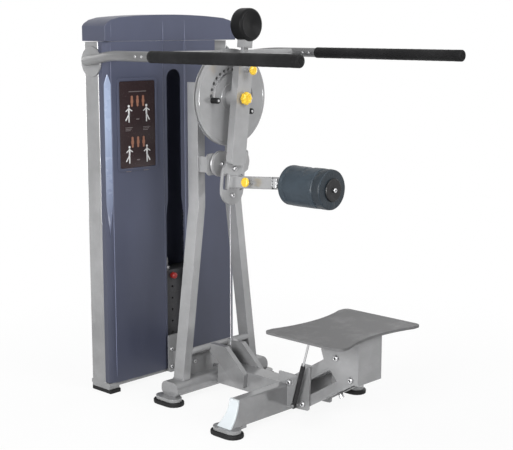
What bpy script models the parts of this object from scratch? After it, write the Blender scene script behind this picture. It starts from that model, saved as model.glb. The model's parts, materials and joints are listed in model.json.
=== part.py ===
"""Multi-function leg machine: weight tower, A-frame with a swinging leg lever, handles and a lift platform.

Metres, +Z up. X runs across the machine, the user stands on the -Y side and the tower is on the +Y side.
Everything is laid out from the lever's pivot axis (x = 0, y = 0 at the cam disc's front face) and moved at
the end so that the origin lies on the floor under the middle of the machine.
"""
import math

import bpy
import bmesh
from mathutils import Matrix, Vector

# Shared clearances
GAP = 0.0003
WELD = 0.0015
RUNNING_GAP = 0.0006

# Lever pivot and cam disc
PIVOT_HEIGHT = 1.271
DISC_RADIUS = 0.200
DISC_THICKNESS = 0.020
RIM_GROOVE_DEPTH = 0.008
RIM_GROOVE_WIDTH = 0.007
SHAFT_RADIUS = 0.0125
HUB_RADIUS = 0.036
INDEX_RADIUS = 0.115
INDEX_PITCH = math.radians(13)
INDEX_HOLES = 14
INDEX_HOLE_RADIUS = 0.0072
INDEX_HOLE_DEPTH = 0.012
INDEX_TRACK_WIDTH = 0.017
INDEX_TRACK_DEPTH = 0.003
STOP_RADIUS = 0.012
STOP_LENGTH = 0.045
LEFT_STOP_PLACE = (-0.110, -0.007)
RIGHT_STOP_PLACE = (0.086, -0.059)

# Lever with its counterweight and pull pins
LEVER_TILT = INDEX_PITCH / 2
LEVER_STAND_OFF = 0.035
LEVER_WIDTH = 0.080
LEVER_DEPTH = 0.035
LEVER_WALL = 0.004
LEVER_TOP = 0.172
LEVER_BOTTOM = 0.275
WEIGHT_RADIUS = 0.067
WEIGHT_LENGTH = 0.065
WEIGHT_CENTRE = 0.298
WEIGHT_EDGE = 0.012
SADDLE_WIDTH = 0.046
SADDLE_DEPTH = 0.042
SADDLE_HEIGHT = 0.036
SADDLE_OVERLAP = 0.010
NECK_WIDTH = 0.024
NECK_DEPTH = 0.018
KNOB_RADIUS = 0.0265
KNOB_LENGTH = 0.028
KNOB_LOBES = 8
PIN_RADIUS = 0.006
PIN_KNOB_RADIUS = 0.020
PIN_KNOB_LENGTH = 0.021
PIN_BARREL_RADIUS = 0.0105
INDEX_BARREL_LENGTH = 0.018
INDEX_PIN_TRAVEL = 0.0115
PIN_NOSE_GAP = 0.001

# Roller arm
HUB_DROP = 0.345
HUB_PLATE_WIDTH = 0.128
HUB_PLATE_HEIGHT = 0.190
HUB_PLATE_THICKNESS = 0.012
HUB_WINDOW_HEIGHT = 0.066
HUB_RIM = 0.007
HUB_BOLT_SPACING = 0.110
BOLT_HEAD_RADIUS = 0.010
BOLT_HEAD_HEIGHT = 0.006
SLEEVE_TILT = math.radians(4)
SLEEVE_WIDTH = 0.050
SLEEVE_WALL = 0.004
SLEEVE_LENGTH = 0.238
SLIDE_BAR_SHOW = 0.020
SLIDE_BAR_START = 0.020
SPINDLE_RADIUS = 0.010
ROLLER_START = -0.360
ROLLER_LENGTH = 0.220
ROLLER_RADIUS = 0.081
ROLLER_EDGE = 0.012
ROLLER_CAP_RADIUS = 0.046
ROLLER_CAP_THICKNESS = 0.005
SLEEVE_PIN_PLACE = -0.126
SLEEVE_BARREL_LENGTH = 0.014
SLEEVE_PIN_TRAVEL = 0.010
SLIDE_HOLE_PITCH = 0.025
SLIDE_HOLE_COUNT = 4

# Cable and pulleys
CABLE_RADIUS = 0.0025
CABLE_HEIGHT = 0.105
GUIDE_PULLEY_OFFSET = 0.0545
DISC_PULLEY_GAP = 0.0165
GUIDE_PULLEY_HEIGHT = PIVOT_HEIGHT - DISC_RADIUS - GUIDE_PULLEY_OFFSET - DISC_PULLEY_GAP
GUIDE_PULLEY_WIDTH = 0.016
PULLEY_GROOVE_RADIUS = 0.035
TOWER_PULLEY_GROOVE = 0.0295
PULLEY_RIM = 0.0040
PULLEY_WIDTH = 0.014
AXLE_RADIUS = 0.006
CHEEK_THICKNESS = 0.004

# A-frame
FRAME_DEPTH_PLACE = 0.100
LEG_WIDTH = 0.040
LEG_DEPTH = 0.060
LEG_WALL = 0.003
LEG_TOP_OFFSET = 0.108
LEG_FOOT_OFFSET = 0.204
LEG_RISE = 0.064
LEG_TOP = PIVOT_HEIGHT + LEG_RISE
HANDLE_RISE = 0.112
HANDLE_HEIGHT = LEG_TOP + HANDLE_RISE
LEG_BEND = 0.820
HEAD_HEIGHT = 0.070
HEAD_DEPTH = 0.050
HOUSING_RADIUS = 0.042
HOUSING_FRONT = 0.045
HOUSING_BACK = 0.150
CROSS_TUBE_HEIGHT = 0.206
CROSS_TUBE_PLACE = 0.080
CROSS_TUBE_RADIUS = 0.015
PULLEY_PLATE_HALF_WIDTH = 0.122
PULLEY_PLATE_HEIGHT = 0.090
PULLEY_PLATE_THICKNESS = 0.006
PULLEY_PLATE_FRONT = 0.022

# Base tube, feet and beams
BASE_TUBE_HALF_LENGTH = 0.275
BASE_TUBE_DEPTH = 0.100
BASE_TUBE_BOTTOM = 0.030
BASE_TUBE_HEIGHT = 0.062
BASE_TUBE_CORNER = 0.028
FOOT_HEIGHT = 0.018
FOOT_LENGTH = 0.150
FOOT_WIDTH = 0.085
FOOT_PLATE_INSET = 0.010
REAR_FOOT_OFFSET = 0.279
WEB_PLATE_HALF_WIDTH = 0.163
WEB_PLATE_THICKNESS = 0.006
WEB_PLATE_TOP = 0.190
BEAM_WIDTH = 0.080
BEAM_BOTTOM = 0.046
BEAM_HEIGHT = 0.085
BEAM_WALL = 0.004
BRACE_THICKNESS = 0.022
BRACE_OUTLINE = (
    (0.078, 0.222),
    (-0.018, 0.222),
    (-0.130, 0.122),
    (-0.124, 0.062),
    (-0.075, 0.068),
    (0.045, 0.164),
    (0.078, 0.185),
)
FLANGE_HALF_WIDTH = 0.065
FLANGE_HEIGHT = 0.160
FLANGE_THICKNESS = 0.008

# Front tube
FRONT_TUBE_BACK = -0.335
FRONT_TUBE_DEPTH = 0.045
FRONT_TUBE_HEIGHT = 0.112
FRONT_TUBE_HALF_LENGTH = 0.345
FRONT_TUBE_WALL = 0.004
FRONT_FOOT_OFFSET = 0.378
FRONT_FOOT_PLACE = -0.345
END_CAP_TOP_LENGTH = 0.010
END_CAP_FOOT_LENGTH = 0.052
END_CAP_FOOT_DEPTH = 0.075

# Platform lift
PLATE_OUTER = 0.072
PLATE_THICKNESS = 0.006
LINK_LENGTH = 0.283
LINK_ANGLE = math.radians(31.8)
UPPER_PIVOT = (-0.394, 0.153)
LOWER_PIVOT = (-0.467, 0.080)
LINK_SIDE = 0.064
LINK_BAR_THICKNESS = 0.012
LINK_DEPTH = 0.040
LINK_TIE_RADIUS = 0.010
LINK_RAIL_HEIGHT = 0.008
PIVOT_PIN_RADIUS = 0.008
PIVOT_HEAD_RADIUS = 0.012
CARRIAGE_FRONT = -0.743
CARRIAGE_BOTTOM = 0.212
CARRIAGE_BACK = -0.556
CARRIAGE_SLOPE_TOP = (-0.558, 0.322)
CARRIAGE_SLOPE_MIDDLE = (-0.571, 0.285)
CARRIAGE_HEEL = -0.640
CARRIAGE_HEEL_DROP = 0.004
BRACKET_BOTTOM = 0.050
BRACKET_TOP = 0.190
BRACKET_SHOULDER = -0.440
BRACKET_NOSE = (-0.504, 0.244)
BRACKET_TOE = (-0.496, 0.056)
DECK_TOP = 0.405
DECK_THICKNESS = 0.010
DECK_HALF_WIDTH = 0.252
DECK_BACK = -0.418
DECK_FRONT = -0.800
DECK_WAIST = 0.034
DECK_CORNER = 0.025
RELEASE_PIN_REACH = 0.030
RELEASE_KNOB_LENGTH = RELEASE_PIN_REACH / 2

# Gas spring
SPRING_OFFSET = 0.105
SPRING_FOOT = (-0.446, 0.075)
SPRING_HEAD = (-0.530, 0.370)
SPRING_RADIUS = 0.010
SPRING_CYLINDER_LENGTH = 0.160
SPRING_ROD_RADIUS = 0.0044
SPRING_ROD_LENGTH = 0.172
SPRING_EYE_WIDTH = 0.010
SPRING_EYE_RADIUS = 0.013
SPRING_STUD_RADIUS = 0.004
SPRING_HEAD_PLAY = 0.0045
EAR_THICKNESS = 0.006
EAR_DROP = 0.022
EAR_BACK = -0.470
EAR_BACK_TAPER = 0.008
EAR_FRONT = -0.560
EAR_FRONT_TAPER = 0.010

# Tower
TOWER_HALF_WIDTH = 0.376
UPRIGHT_WIDTH = 0.100
UPRIGHT_FRONT = 0.397
TOWER_BACK = 0.497
UPRIGHT_WALL = 0.004
UPRIGHT_CORNER = 0.018
UPRIGHT_RISE = 0.050
UPRIGHT_TOP = HANDLE_HEIGHT + UPRIGHT_RISE
TOWER_BASE_THICKNESS = 0.016
TOWER_BASE_BOTTOM = 0.030
TOWER_FOOT_LENGTH = 0.060
TOP_BEAM_HEIGHT = 0.040
TOP_BEAM_DROP = 0.045
TOP_BEAM_BOTTOM = UPRIGHT_TOP - TOP_BEAM_DROP
TOP_PULLEY_DROP = 0.032
TOP_PULLEY_HEIGHT = TOP_BEAM_BOTTOM - TOP_PULLEY_DROP
BOSS_HALF_WIDTH = 0.048
BOSS_TOP = 0.150
COVER_BOTTOM = 0.050
COVER_RISE = 0.003
COVER_TOP = UPRIGHT_TOP + COVER_RISE
COVER_WALL = 0.004
COVER_FRONT = 0.349
COVER_SHOULDER = 0.372
COVER_FACET = 0.031
COVER_PANEL_HALF_WIDTH = 0.062
COVER_PANEL_DEPTH = 0.005
SLOT_HALF_WIDTH = 0.041
SLOT_LOW_HALF_WIDTH = 0.052
SLOT_DROP = 0.122
SLOT_TOP = COVER_TOP - SLOT_DROP
SLOT_STEP = 0.780
SLOT_BOTTOM = 0.169
NOTCH_WIDTH = 0.128
NOTCH_DEPTH = 0.105
NOTCH_BOTTOM = COVER_TOP - NOTCH_DEPTH
CAP_EDGE_RISE = 0.073
CAP_EDGE_TOP = COVER_TOP + CAP_EDGE_RISE
CAP_SLOPE_RISE = 0.024
CAP_SHOULDER_TOP = CAP_EDGE_TOP + CAP_SLOPE_RISE
CAP_CROWN_RISE = 0.013
CAP_TOP = CAP_SHOULDER_TOP + CAP_CROWN_RISE
CAP_SHOULDER = 0.300
CAP_WALL = 0.005
CAP_OVERHANG = 0.002
PLACARD_CENTRE = -0.2115
PLACARD_HALF_WIDTH = 0.0945
PLACARD_DROP = 0.165
PLACARD_HEIGHT = 0.363
PLACARD_TOP = COVER_TOP - PLACARD_DROP
PLACARD_BOTTOM = PLACARD_TOP - PLACARD_HEIGHT
PLACARD_THICKNESS = 0.002

# Weight stack
STACK_PLACE = 0.423
STACK_HALF_WIDTH = 0.170
STACK_DEPTH = 0.090
STACK_BOTTOM = 0.175
PLATE_COUNT = 5
PLATE_HEIGHT = 0.053
HEAD_PLATE_HEIGHT = 0.050
GUIDE_ROD_OFFSET = 0.120
GUIDE_ROD_RADIUS = 0.0095
GUIDE_ROD_PLAY = 0.0010
STEM_RADIUS = 0.0125
STEM_PLAY = 0.0010
STEM_TOP = 0.540
CUSHION_HEIGHT = 0.0244
PEDESTAL_HALF_WIDTH = 0.030
SELECTOR_RADIUS = 0.005
SELECTOR_HEAD_RADIUS = 0.014
SELECTOR_HEAD_LENGTH = 0.022
RISER_PLACE = 0.482

# Handles
HANDLE_OFFSET = 0.480
BAR_RADIUS = 0.020
BAR_WALL = 0.003
BAR_END = -0.797
GRIP_START = -0.050
GRIP_RADIUS = 0.0233
BAR_ROOT_DROP = 0.028
BAR_ROOT = (0.4015, 0.445, HANDLE_HEIGHT - BAR_ROOT_DROP)
BAR_BEND = (0.455, 0.210)
BAR_STRAIGHT_START = 0.060
ROOT_PLATE_RADIUS = 0.0625
ROOT_PLATE_THICKNESS = 0.008
ROOT_PLATE_DROP = 0.0305
ROOT_PLATE_CENTRE = (0.438, HANDLE_HEIGHT - ROOT_PLATE_DROP)
GRIP_END_THICKNESS = 0.006
TIE_TUBE_RADIUS = 0.016
TIE_TUBE_PLACE = 0.090

# Places that follow from the sizes above
LEVER_FRONT = -LEVER_STAND_OFF - LEVER_DEPTH
SADDLE_TOP = WEIGHT_CENTRE - WEIGHT_RADIUS + SADDLE_OVERLAP
HUB_FRONT = -LEVER_STAND_OFF - HUB_PLATE_THICKNESS
CABLE_PLACE = DISC_THICKNESS / 2
RIM_GROOVE_RADIUS = DISC_RADIUS - RIM_GROOVE_DEPTH
BASE_TUBE_TOP = BASE_TUBE_BOTTOM + BASE_TUBE_HEIGHT
BASE_TUBE_FRONT = FRAME_DEPTH_PLACE - BASE_TUBE_DEPTH / 2
BASE_TUBE_BACK = FRAME_DEPTH_PLACE + BASE_TUBE_DEPTH / 2
LEG_FRONT = FRAME_DEPTH_PLACE - LEG_DEPTH / 2
LEG_BACK = FRAME_DEPTH_PLACE + LEG_DEPTH / 2
BEAM_TOP = BEAM_BOTTOM + BEAM_HEIGHT
FRONT_TUBE_FRONT = FRONT_TUBE_BACK - FRONT_TUBE_DEPTH
FRONT_TUBE_BOTTOM = BASE_TUBE_BOTTOM
FRONT_TUBE_TOP = FRONT_TUBE_BOTTOM + FRONT_TUBE_HEIGHT
FLANGE_FRONT = COVER_FRONT - 0.007 - FLANGE_THICKNESS
FLANGE_BACK = FLANGE_FRONT + FLANGE_THICKNESS
DECK_BOTTOM = DECK_TOP - DECK_THICKNESS
STACK_TOP = STACK_BOTTOM + PLATE_COUNT * PLATE_HEIGHT
HEAD_BOTTOM = STACK_TOP
HEAD_TOP = HEAD_BOTTOM + HEAD_PLATE_HEIGHT
STACK_FRONT = STACK_PLACE - STACK_DEPTH / 2
PEDESTAL_TOP = STACK_BOTTOM - CUSHION_HEIGHT - 2 * GAP
TOWER_PULLEY_PLACE = (STACK_PLACE + RISER_PLACE) / 2
BASE_PULLEY_HEIGHT = CABLE_HEIGHT + TOWER_PULLEY_GROOVE
FRAME_PULLEY_PLACE = CABLE_PLACE + PULLEY_GROOVE_RADIUS
FRAME_PULLEY_HEIGHT = CABLE_HEIGHT + PULLEY_GROOVE_RADIUS
LINK_RUN = LINK_LENGTH * math.cos(LINK_ANGLE)
LINK_RISE = LINK_LENGTH * math.sin(LINK_ANGLE)
UPPER_JOINT = (UPPER_PIVOT[0] - LINK_RUN, UPPER_PIVOT[1] + LINK_RISE)
LOWER_JOINT = (LOWER_PIVOT[0] - LINK_RUN, LOWER_PIVOT[1] + LINK_RISE)
GRIP_END = BAR_END - GAP - GRIP_END_THICKNESS
LENGTH_FRONT = min(DECK_FRONT, GRIP_END)
LENGTH_BACK = max(TOWER_BACK + CAP_OVERHANG, ROOT_PLATE_CENTRE[0] + ROOT_PLATE_RADIUS)
ORIGIN_SHIFT = -(LENGTH_FRONT + LENGTH_BACK) / 2

PARTS = "leg_machine"
CUTTERS = "leg_machine_cutters"
AXIS_FRAMES = {
    "x": Matrix(((0, 0, 1), (1, 0, 0), (0, 1, 0))),
    "y": Matrix(((1, 0, 0), (0, 0, -1), (0, 1, 0))),
    "z": Matrix.Identity(3),
}
AXIS_SIGN = {"x": 1, "y": -1, "z": 1}


def start_scene():
    for obj in list(bpy.data.objects):
        bpy.data.objects.remove(obj, do_unlink=True)
    for name in (PARTS, CUTTERS):
        collection = bpy.data.collections.new(name)
        bpy.context.scene.collection.children.link(collection)


def material(name, colour, roughness, metallic):
    made = bpy.data.materials.get(name)
    if made is None:
        made = bpy.data.materials.new(name)
        made.use_nodes = True
        shader = made.node_tree.nodes["Principled BSDF"]
        shader.inputs["Base Color"].default_value = (*colour, 1)
        shader.inputs["Roughness"].default_value = roughness
        shader.inputs["Metallic"].default_value = metallic
    return made


def silver_paint():
    return material("silver_paint", (0.42, 0.43, 0.45), 0.4, 0.5)


def steel():
    return material("steel", (0.6, 0.6, 0.6), 0.3, 1.0)


def black_rubber():
    return material("black_rubber", (0.02, 0.02, 0.02), 0.8, 0.0)


def black_plastic():
    return material("black_plastic", (0.03, 0.03, 0.03), 0.5, 0.0)


def slate_shell():
    return material("slate_shell", (0.10, 0.12, 0.2), 0.4, 0.0)


def yellow_plastic():
    return material("yellow_plastic", (0.85, 0.55, 0.03), 0.4, 0.0)


def link_object(obj, collection):
    for old in list(obj.users_collection):
        old.objects.unlink(obj)
    bpy.data.collections[collection].objects.link(obj)


def new_object(name, mesh, surface):
    obj = bpy.data.objects.new(name, mesh)
    bpy.data.collections[PARTS].objects.link(obj)
    if surface is not None:
        obj.data.materials.append(surface)
    return obj


def smooth(obj, angle=35):
    obj.data.shade_smooth()
    obj.data.set_sharp_from_angle(angle=math.radians(angle))
    return obj


def mesh_from_curve(curve, surface):
    """Turns a filled or bevelled curve into a closed mesh with its caps welded on."""
    bpy.context.view_layer.update()
    graph = bpy.context.evaluated_depsgraph_get()
    mesh = bpy.data.meshes.new_from_object(curve.evaluated_get(graph))
    shape = bmesh.new()
    shape.from_mesh(mesh)
    bmesh.ops.remove_doubles(shape, verts=shape.verts, dist=0.00001)
    bmesh.ops.recalc_face_normals(shape, faces=shape.faces)
    shape.to_mesh(mesh)
    shape.free()
    name = curve.name
    place = curve.matrix_world.copy()
    bpy.data.objects.remove(curve, do_unlink=True)
    obj = new_object(name, mesh, None)
    obj.name = name
    obj.matrix_world = place
    obj.data.materials.clear()
    if surface is not None:
        obj.data.materials.append(surface)
    return obj


def plate(name, axis, low, high, loops, surface=None):
    """A flat outline with optional holes, drawn across one axis and as thick as low to high along it."""
    data = bpy.data.curves.new(name, "CURVE")
    data.dimensions = "2D"
    data.fill_mode = "BOTH"
    data.extrude = (high - low) / 2
    for loop in loops:
        spline = data.splines.new("POLY")
        spline.points.add(len(loop) - 1)
        for point, (u, v) in zip(spline.points, loop):
            point.co = (u, v, 0, 1)
        spline.use_cyclic_u = True
    curve = bpy.data.objects.new(name, data)
    bpy.data.collections[PARTS].objects.link(curve)
    frame = AXIS_FRAMES[axis]
    middle = (low + high) / 2 * AXIS_SIGN[axis]
    curve.matrix_world = Matrix.Translation(frame @ Vector((0, 0, middle))) @ frame.to_4x4()
    return mesh_from_curve(curve, surface)


def turned(name, axis, centre, profile, surface=None, closed=False, steps=32):
    """A turned solid. Its profile holds (radius, place on the axis) from the top of its outer side down."""
    mesh = bpy.data.meshes.new(name)
    points = [(radius, 0, along) for radius, along in profile]
    edges = [(i, i + 1) for i in range(len(points) - 1)]
    if closed:
        edges.append((len(points) - 1, 0))
    mesh.from_pydata(points, edges, [])
    obj = new_object(name, mesh, surface)
    screw = obj.modifiers.new("Turn", "SCREW")
    screw.steps = steps
    screw.render_steps = steps
    screw.use_merge_vertices = True
    screw.merge_threshold = 0.00001
    screw.use_smooth_shade = True
    direction = {"x": Vector((1, 0, 0)), "y": Vector((0, 1, 0)), "z": Vector((0, 0, 1))}[axis]
    turn = Vector((0, 0, 1)).rotation_difference(direction).to_matrix().to_4x4()
    obj.matrix_world = Matrix.Translation(Vector(centre)) @ turn
    return obj


def rod(name, start, end, radius, surface=None, sides=16):
    """A plain cylinder between two points."""
    start = Vector(start)
    end = Vector(end)
    shape = bmesh.new()
    bmesh.ops.create_cone(
        shape, cap_ends=True, segments=sides, radius1=radius, radius2=radius, depth=(end - start).length
    )
    mesh = bpy.data.meshes.new(name)
    shape.to_mesh(mesh)
    shape.free()
    obj = new_object(name, mesh, surface)
    turn = Vector((0, 0, 1)).rotation_difference((end - start).normalized()).to_matrix().to_4x4()
    obj.matrix_world = Matrix.Translation((start + end) / 2) @ turn
    smooth(obj)
    return obj


def box(name, low, high, surface=None, bevel=0.0, segments=2):
    """A box between two corners, with rounded edges where a bevel is given."""
    low = Vector(low)
    high = Vector(high)
    size = high - low
    shape = bmesh.new()
    bmesh.ops.create_cube(shape, size=1)
    bmesh.ops.scale(shape, vec=size, verts=shape.verts)
    mesh = bpy.data.meshes.new(name)
    shape.to_mesh(mesh)
    shape.free()
    obj = new_object(name, mesh, surface)
    obj.location = (low + high) / 2
    if bevel:
        edges = obj.modifiers.new("Edges", "BEVEL")
        edges.width = bevel
        edges.segments = segments
    return obj


def bent_tube(name, points, radius, surface=None, resolution=2):
    """A round tube along a line of points."""
    data = bpy.data.curves.new(name, "CURVE")
    data.dimensions = "3D"
    data.bevel_depth = radius
    data.bevel_resolution = resolution
    data.use_fill_caps = True
    spline = data.splines.new("POLY")
    spline.points.add(len(points) - 1)
    for point, place in zip(spline.points, points):
        point.co = (*place, 1)
    curve = bpy.data.objects.new(name, data)
    bpy.data.collections[PARTS].objects.link(curve)
    return smooth(mesh_from_curve(curve, surface))


def combine(target, operation, others):
    for other in others:
        step = target.modifiers.new(operation.title(), "BOOLEAN")
        step.operation = operation
        step.solver = "EXACT"
        step.object = other
        link_object(other, CUTTERS)
        other.hide_render = True
        other.display_type = "WIRE"
    return target


def join(target, *others):
    return combine(target, "UNION", others)


def cut(target, *others):
    return combine(target, "DIFFERENCE", others)


def carry(parent, *objects):
    """Parents pieces to an empty on their joint's axis; their own coordinates are relative to it."""
    for obj in objects:
        obj.parent = parent


def pivot(name, place, turn=(0, 0, 0)):
    empty = bpy.data.objects.new(name, None)
    bpy.data.collections[PARTS].objects.link(empty)
    empty.location = place
    empty.rotation_euler = turn
    return empty


def arc(centre, radius, start, end, steps):
    """Points on an arc, angles in degrees."""
    points = []
    for i in range(steps + 1):
        angle = math.radians(start + (end - start) * i / steps)
        points.append((centre[0] + radius * math.cos(angle), centre[1] + radius * math.sin(angle)))
    return points


def circle(centre, radius, steps=24):
    return arc(centre, radius, 0, 360, steps)[:-1]


def rectangle(low, high):
    return [(low[0], low[1]), (high[0], low[1]), (high[0], high[1]), (low[0], high[1])]


def rounded(points, radius, steps=4):
    """Rounds the corners of an outline; radius is one value or one for each corner."""
    radii = radius if isinstance(radius, (list, tuple)) else [radius] * len(points)
    result = []
    for i, (point, size) in enumerate(zip(points, radii)):
        corner = Vector(point)
        back = (Vector(points[i - 1]) - corner).normalized()
        ahead = (Vector(points[(i + 1) % len(points)]) - corner).normalized()
        half = back.angle(ahead) / 2
        if size <= 0 or abs(half - math.pi / 2) < 0.01:
            result.append((corner.x, corner.y))
            continue
        reach = size / math.tan(half)
        centre = corner + (back + ahead).normalized() * (size / math.sin(half))
        first = corner + back * reach - centre
        last = corner + ahead * reach - centre
        turn = math.atan2(first.x * last.y - first.y * last.x, first.dot(last))
        for k in range(steps + 1):
            angle = turn * k / steps
            x = first.x * math.cos(angle) - first.y * math.sin(angle)
            y = first.x * math.sin(angle) + first.y * math.cos(angle)
            result.append((centre.x + x, centre.y + y))
    return result


def stadium(centre, length, width, steps=8):
    """An outline with round ends, long along its second direction."""
    reach = (length - width) / 2
    top = arc((centre[0], centre[1] + reach), width / 2, 0, 180, steps)
    bottom = arc((centre[0], centre[1] - reach), width / 2, 180, 360, steps)
    return top + bottom


def bolt_heads(places, axis, base, tip, radius=BOLT_HEAD_RADIUS):
    heads = []
    for u, v in places:
        heads.append(plate("bolt_head", axis, min(base, tip), max(base, tip), [circle((u, v), radius, 10)]))
    return heads


def pulley(name, axis, centre, groove, width, rim, surface, bore=AXLE_RADIUS):
    """A grooved wheel; the cable's centreline runs at the groove radius plus the cable's own clearance."""
    floor = groove - CABLE_RADIUS - GAP
    outer = floor + rim
    half = width / 2
    floor_half = CABLE_RADIUS + GAP
    profile = [
        (outer, half),
        (outer, half - 0.002),
        (floor, floor_half),
        (floor, -floor_half),
        (outer, -half + 0.002),
        (outer, -half),
        (bore + RUNNING_GAP / 2, -half),
        (bore + RUNNING_GAP / 2, half),
    ]
    return turned(name, axis, centre, profile, surface, closed=True, steps=20)


def make_cam_disc(pivot_empty):
    """The disc with its cable groove, index holes, hub and shaft. Built about the pivot axis."""
    half_groove = RIM_GROOVE_WIDTH / 2
    middle = DISC_THICKNESS / 2
    shaft_front = LEVER_FRONT - KNOB_LENGTH / 2
    profile = [
        (0, HOUSING_BACK),
        (SHAFT_RADIUS, HOUSING_BACK),
        (SHAFT_RADIUS, HOUSING_FRONT - GAP),
        (HUB_RADIUS, HOUSING_FRONT - GAP),
        (HUB_RADIUS, DISC_THICKNESS),
        (DISC_RADIUS, DISC_THICKNESS),
        (DISC_RADIUS, middle + half_groove),
        (RIM_GROOVE_RADIUS, middle + half_groove),
        (RIM_GROOVE_RADIUS, middle - half_groove),
        (DISC_RADIUS, middle - half_groove),
        (DISC_RADIUS, 0),
        (HUB_RADIUS, 0),
        (HUB_RADIUS, -LEVER_STAND_OFF + GAP),
        (SHAFT_RADIUS, -LEVER_STAND_OFF + GAP),
        (SHAFT_RADIUS, shaft_front),
        (0, shaft_front),
    ]
    disc = turned("cam_disc", "y", (0, 0, 0), profile, silver_paint(), steps=48)
    reach = INDEX_PITCH * INDEX_HOLES / 2
    start = 90 - math.degrees(reach)
    end = 90 + math.degrees(reach)
    track = arc((0, 0), INDEX_RADIUS + INDEX_TRACK_WIDTH / 2, start, end, 20)
    track += arc((0, 0), INDEX_RADIUS - INDEX_TRACK_WIDTH / 2, end, start, 20)
    cut(disc, plate("index_track", "y", -0.001, INDEX_TRACK_DEPTH, [track]))
    for i in range(INDEX_HOLES):
        angle = math.pi / 2 + (i - (INDEX_HOLES - 1) / 2) * INDEX_PITCH
        centre = (INDEX_RADIUS * math.cos(angle), INDEX_RADIUS * math.sin(angle))
        hole = plate("index_hole", "y", 0.001, INDEX_HOLE_DEPTH, [circle(centre, INDEX_HOLE_RADIUS, 8)])
        carry(pivot_empty, hole)
        cut(disc, hole)
    carry(pivot_empty, disc, bpy.data.objects["index_track"])
    for name, (x, z) in (("left_stop", LEFT_STOP_PLACE), ("right_stop", RIGHT_STOP_PLACE)):
        stop = turned(
            name,
            "y",
            (x, 0, z),
            [
                (0, -GAP),
                (STOP_RADIUS, -GAP),
                (STOP_RADIUS, -STOP_LENGTH + 0.003),
                (STOP_RADIUS - 0.003, -STOP_LENGTH),
                (0, -STOP_LENGTH),
            ],
            black_rubber(),
            steps=20,
        )
        carry(pivot_empty, stop)


def make_lever(pivot_empty):
    """The swinging lever: a flat tube with the counterweight's saddle, the pin barrel and the pivot bore."""
    half = LEVER_WIDTH / 2
    outline = rounded(
        [(-half, -LEVER_BOTTOM), (half, -LEVER_BOTTOM), (half, LEVER_TOP), (-half, LEVER_TOP)], 0.012
    )
    lever = plate("lever_arm", "y", LEVER_FRONT, -LEVER_STAND_OFF, [outline], silver_paint())
    inner = rectangle(
        (-half + LEVER_WALL, -LEVER_BOTTOM - 0.01), (half - LEVER_WALL, -HUB_RADIUS - 0.01)
    )
    hollow = plate(
        "lever_hollow", "y", LEVER_FRONT + LEVER_WALL, -LEVER_STAND_OFF - LEVER_WALL, [inner]
    )
    middle = (LEVER_FRONT - LEVER_STAND_OFF) / 2
    saddle = box(
        "saddle",
        (-SADDLE_WIDTH / 2, middle - SADDLE_DEPTH / 2, SADDLE_TOP - SADDLE_HEIGHT),
        (SADDLE_WIDTH / 2, middle + SADDLE_DEPTH / 2, SADDLE_TOP),
    )
    neck = box(
        "neck",
        (-NECK_WIDTH / 2, middle - NECK_DEPTH / 2, LEVER_TOP - 0.01),
        (NECK_WIDTH / 2, middle + NECK_DEPTH / 2, WEIGHT_CENTRE),
    )
    barrel = rod(
        "index_barrel",
        (0, LEVER_FRONT - INDEX_BARREL_LENGTH, INDEX_RADIUS),
        (0, LEVER_FRONT + WELD, INDEX_RADIUS),
        PIN_BARREL_RADIUS,
    )
    bore = rod("lever_bore", (0, -0.2, 0), (0, 0.02, 0), SHAFT_RADIUS + GAP, sides=24)
    pin_bore = rod(
        "index_bore", (0, -0.2, INDEX_RADIUS), (0, 0.02, INDEX_RADIUS), PIN_RADIUS + GAP
    )
    seat = plate(
        "hub_seat",
        "y",
        HUB_FRONT - GAP,
        -LEVER_STAND_OFF + 0.01,
        [stadium((0, -HUB_DROP), HUB_PLATE_HEIGHT + 2 * GAP, HUB_PLATE_WIDTH + 2 * GAP, 12)],
    )
    cut(lever, hollow, seat)
    join(lever, saddle, neck, barrel)
    cut(lever, bore, pin_bore)
    carry(pivot_empty, lever, hollow, seat, saddle, neck, barrel, bore, pin_bore)

    weight_half = WEIGHT_LENGTH / 2
    weight = turned(
        "counterweight",
        "y",
        (0, middle, WEIGHT_CENTRE),
        rounded_ends(WEIGHT_RADIUS, -weight_half, weight_half, WEIGHT_EDGE),
        black_plastic(),
        steps=32,
    )
    pocket = box(
        "weight_pocket",
        (-NECK_WIDTH / 2 - GAP, middle - NECK_DEPTH / 2 - GAP, LEVER_TOP - 0.02),
        (NECK_WIDTH / 2 + GAP, middle + NECK_DEPTH / 2 + GAP, WEIGHT_CENTRE + GAP),
    )
    seat = box(
        "weight_seat",
        (-SADDLE_WIDTH / 2 - GAP, middle - SADDLE_DEPTH / 2 - GAP, LEVER_TOP - 0.02),
        (SADDLE_WIDTH / 2 + GAP, middle + SADDLE_DEPTH / 2 + GAP, SADDLE_TOP + GAP),
    )
    cut(weight, pocket, seat)
    carry(pivot_empty, weight, pocket, seat)

    nose = -PIN_NOSE_GAP
    pin = make_pull_pin(
        "index_pin", "y", (0, 0, INDEX_RADIUS), nose, LEVER_FRONT - INDEX_BARREL_LENGTH, INDEX_PIN_TRAVEL
    )
    carry(pivot_empty, make_star_knob(), pin)


def rounded_ends(radius, low, high, edge, steps=3):
    """The profile of a solid cylinder whose rims are rounded."""
    upper = arc((radius - edge, high - edge), edge, 90, 0, steps)
    lower = arc((radius - edge, low + edge), edge, 0, -90, steps)
    return [(0, high)] + upper + lower + [(0, low)]


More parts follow.
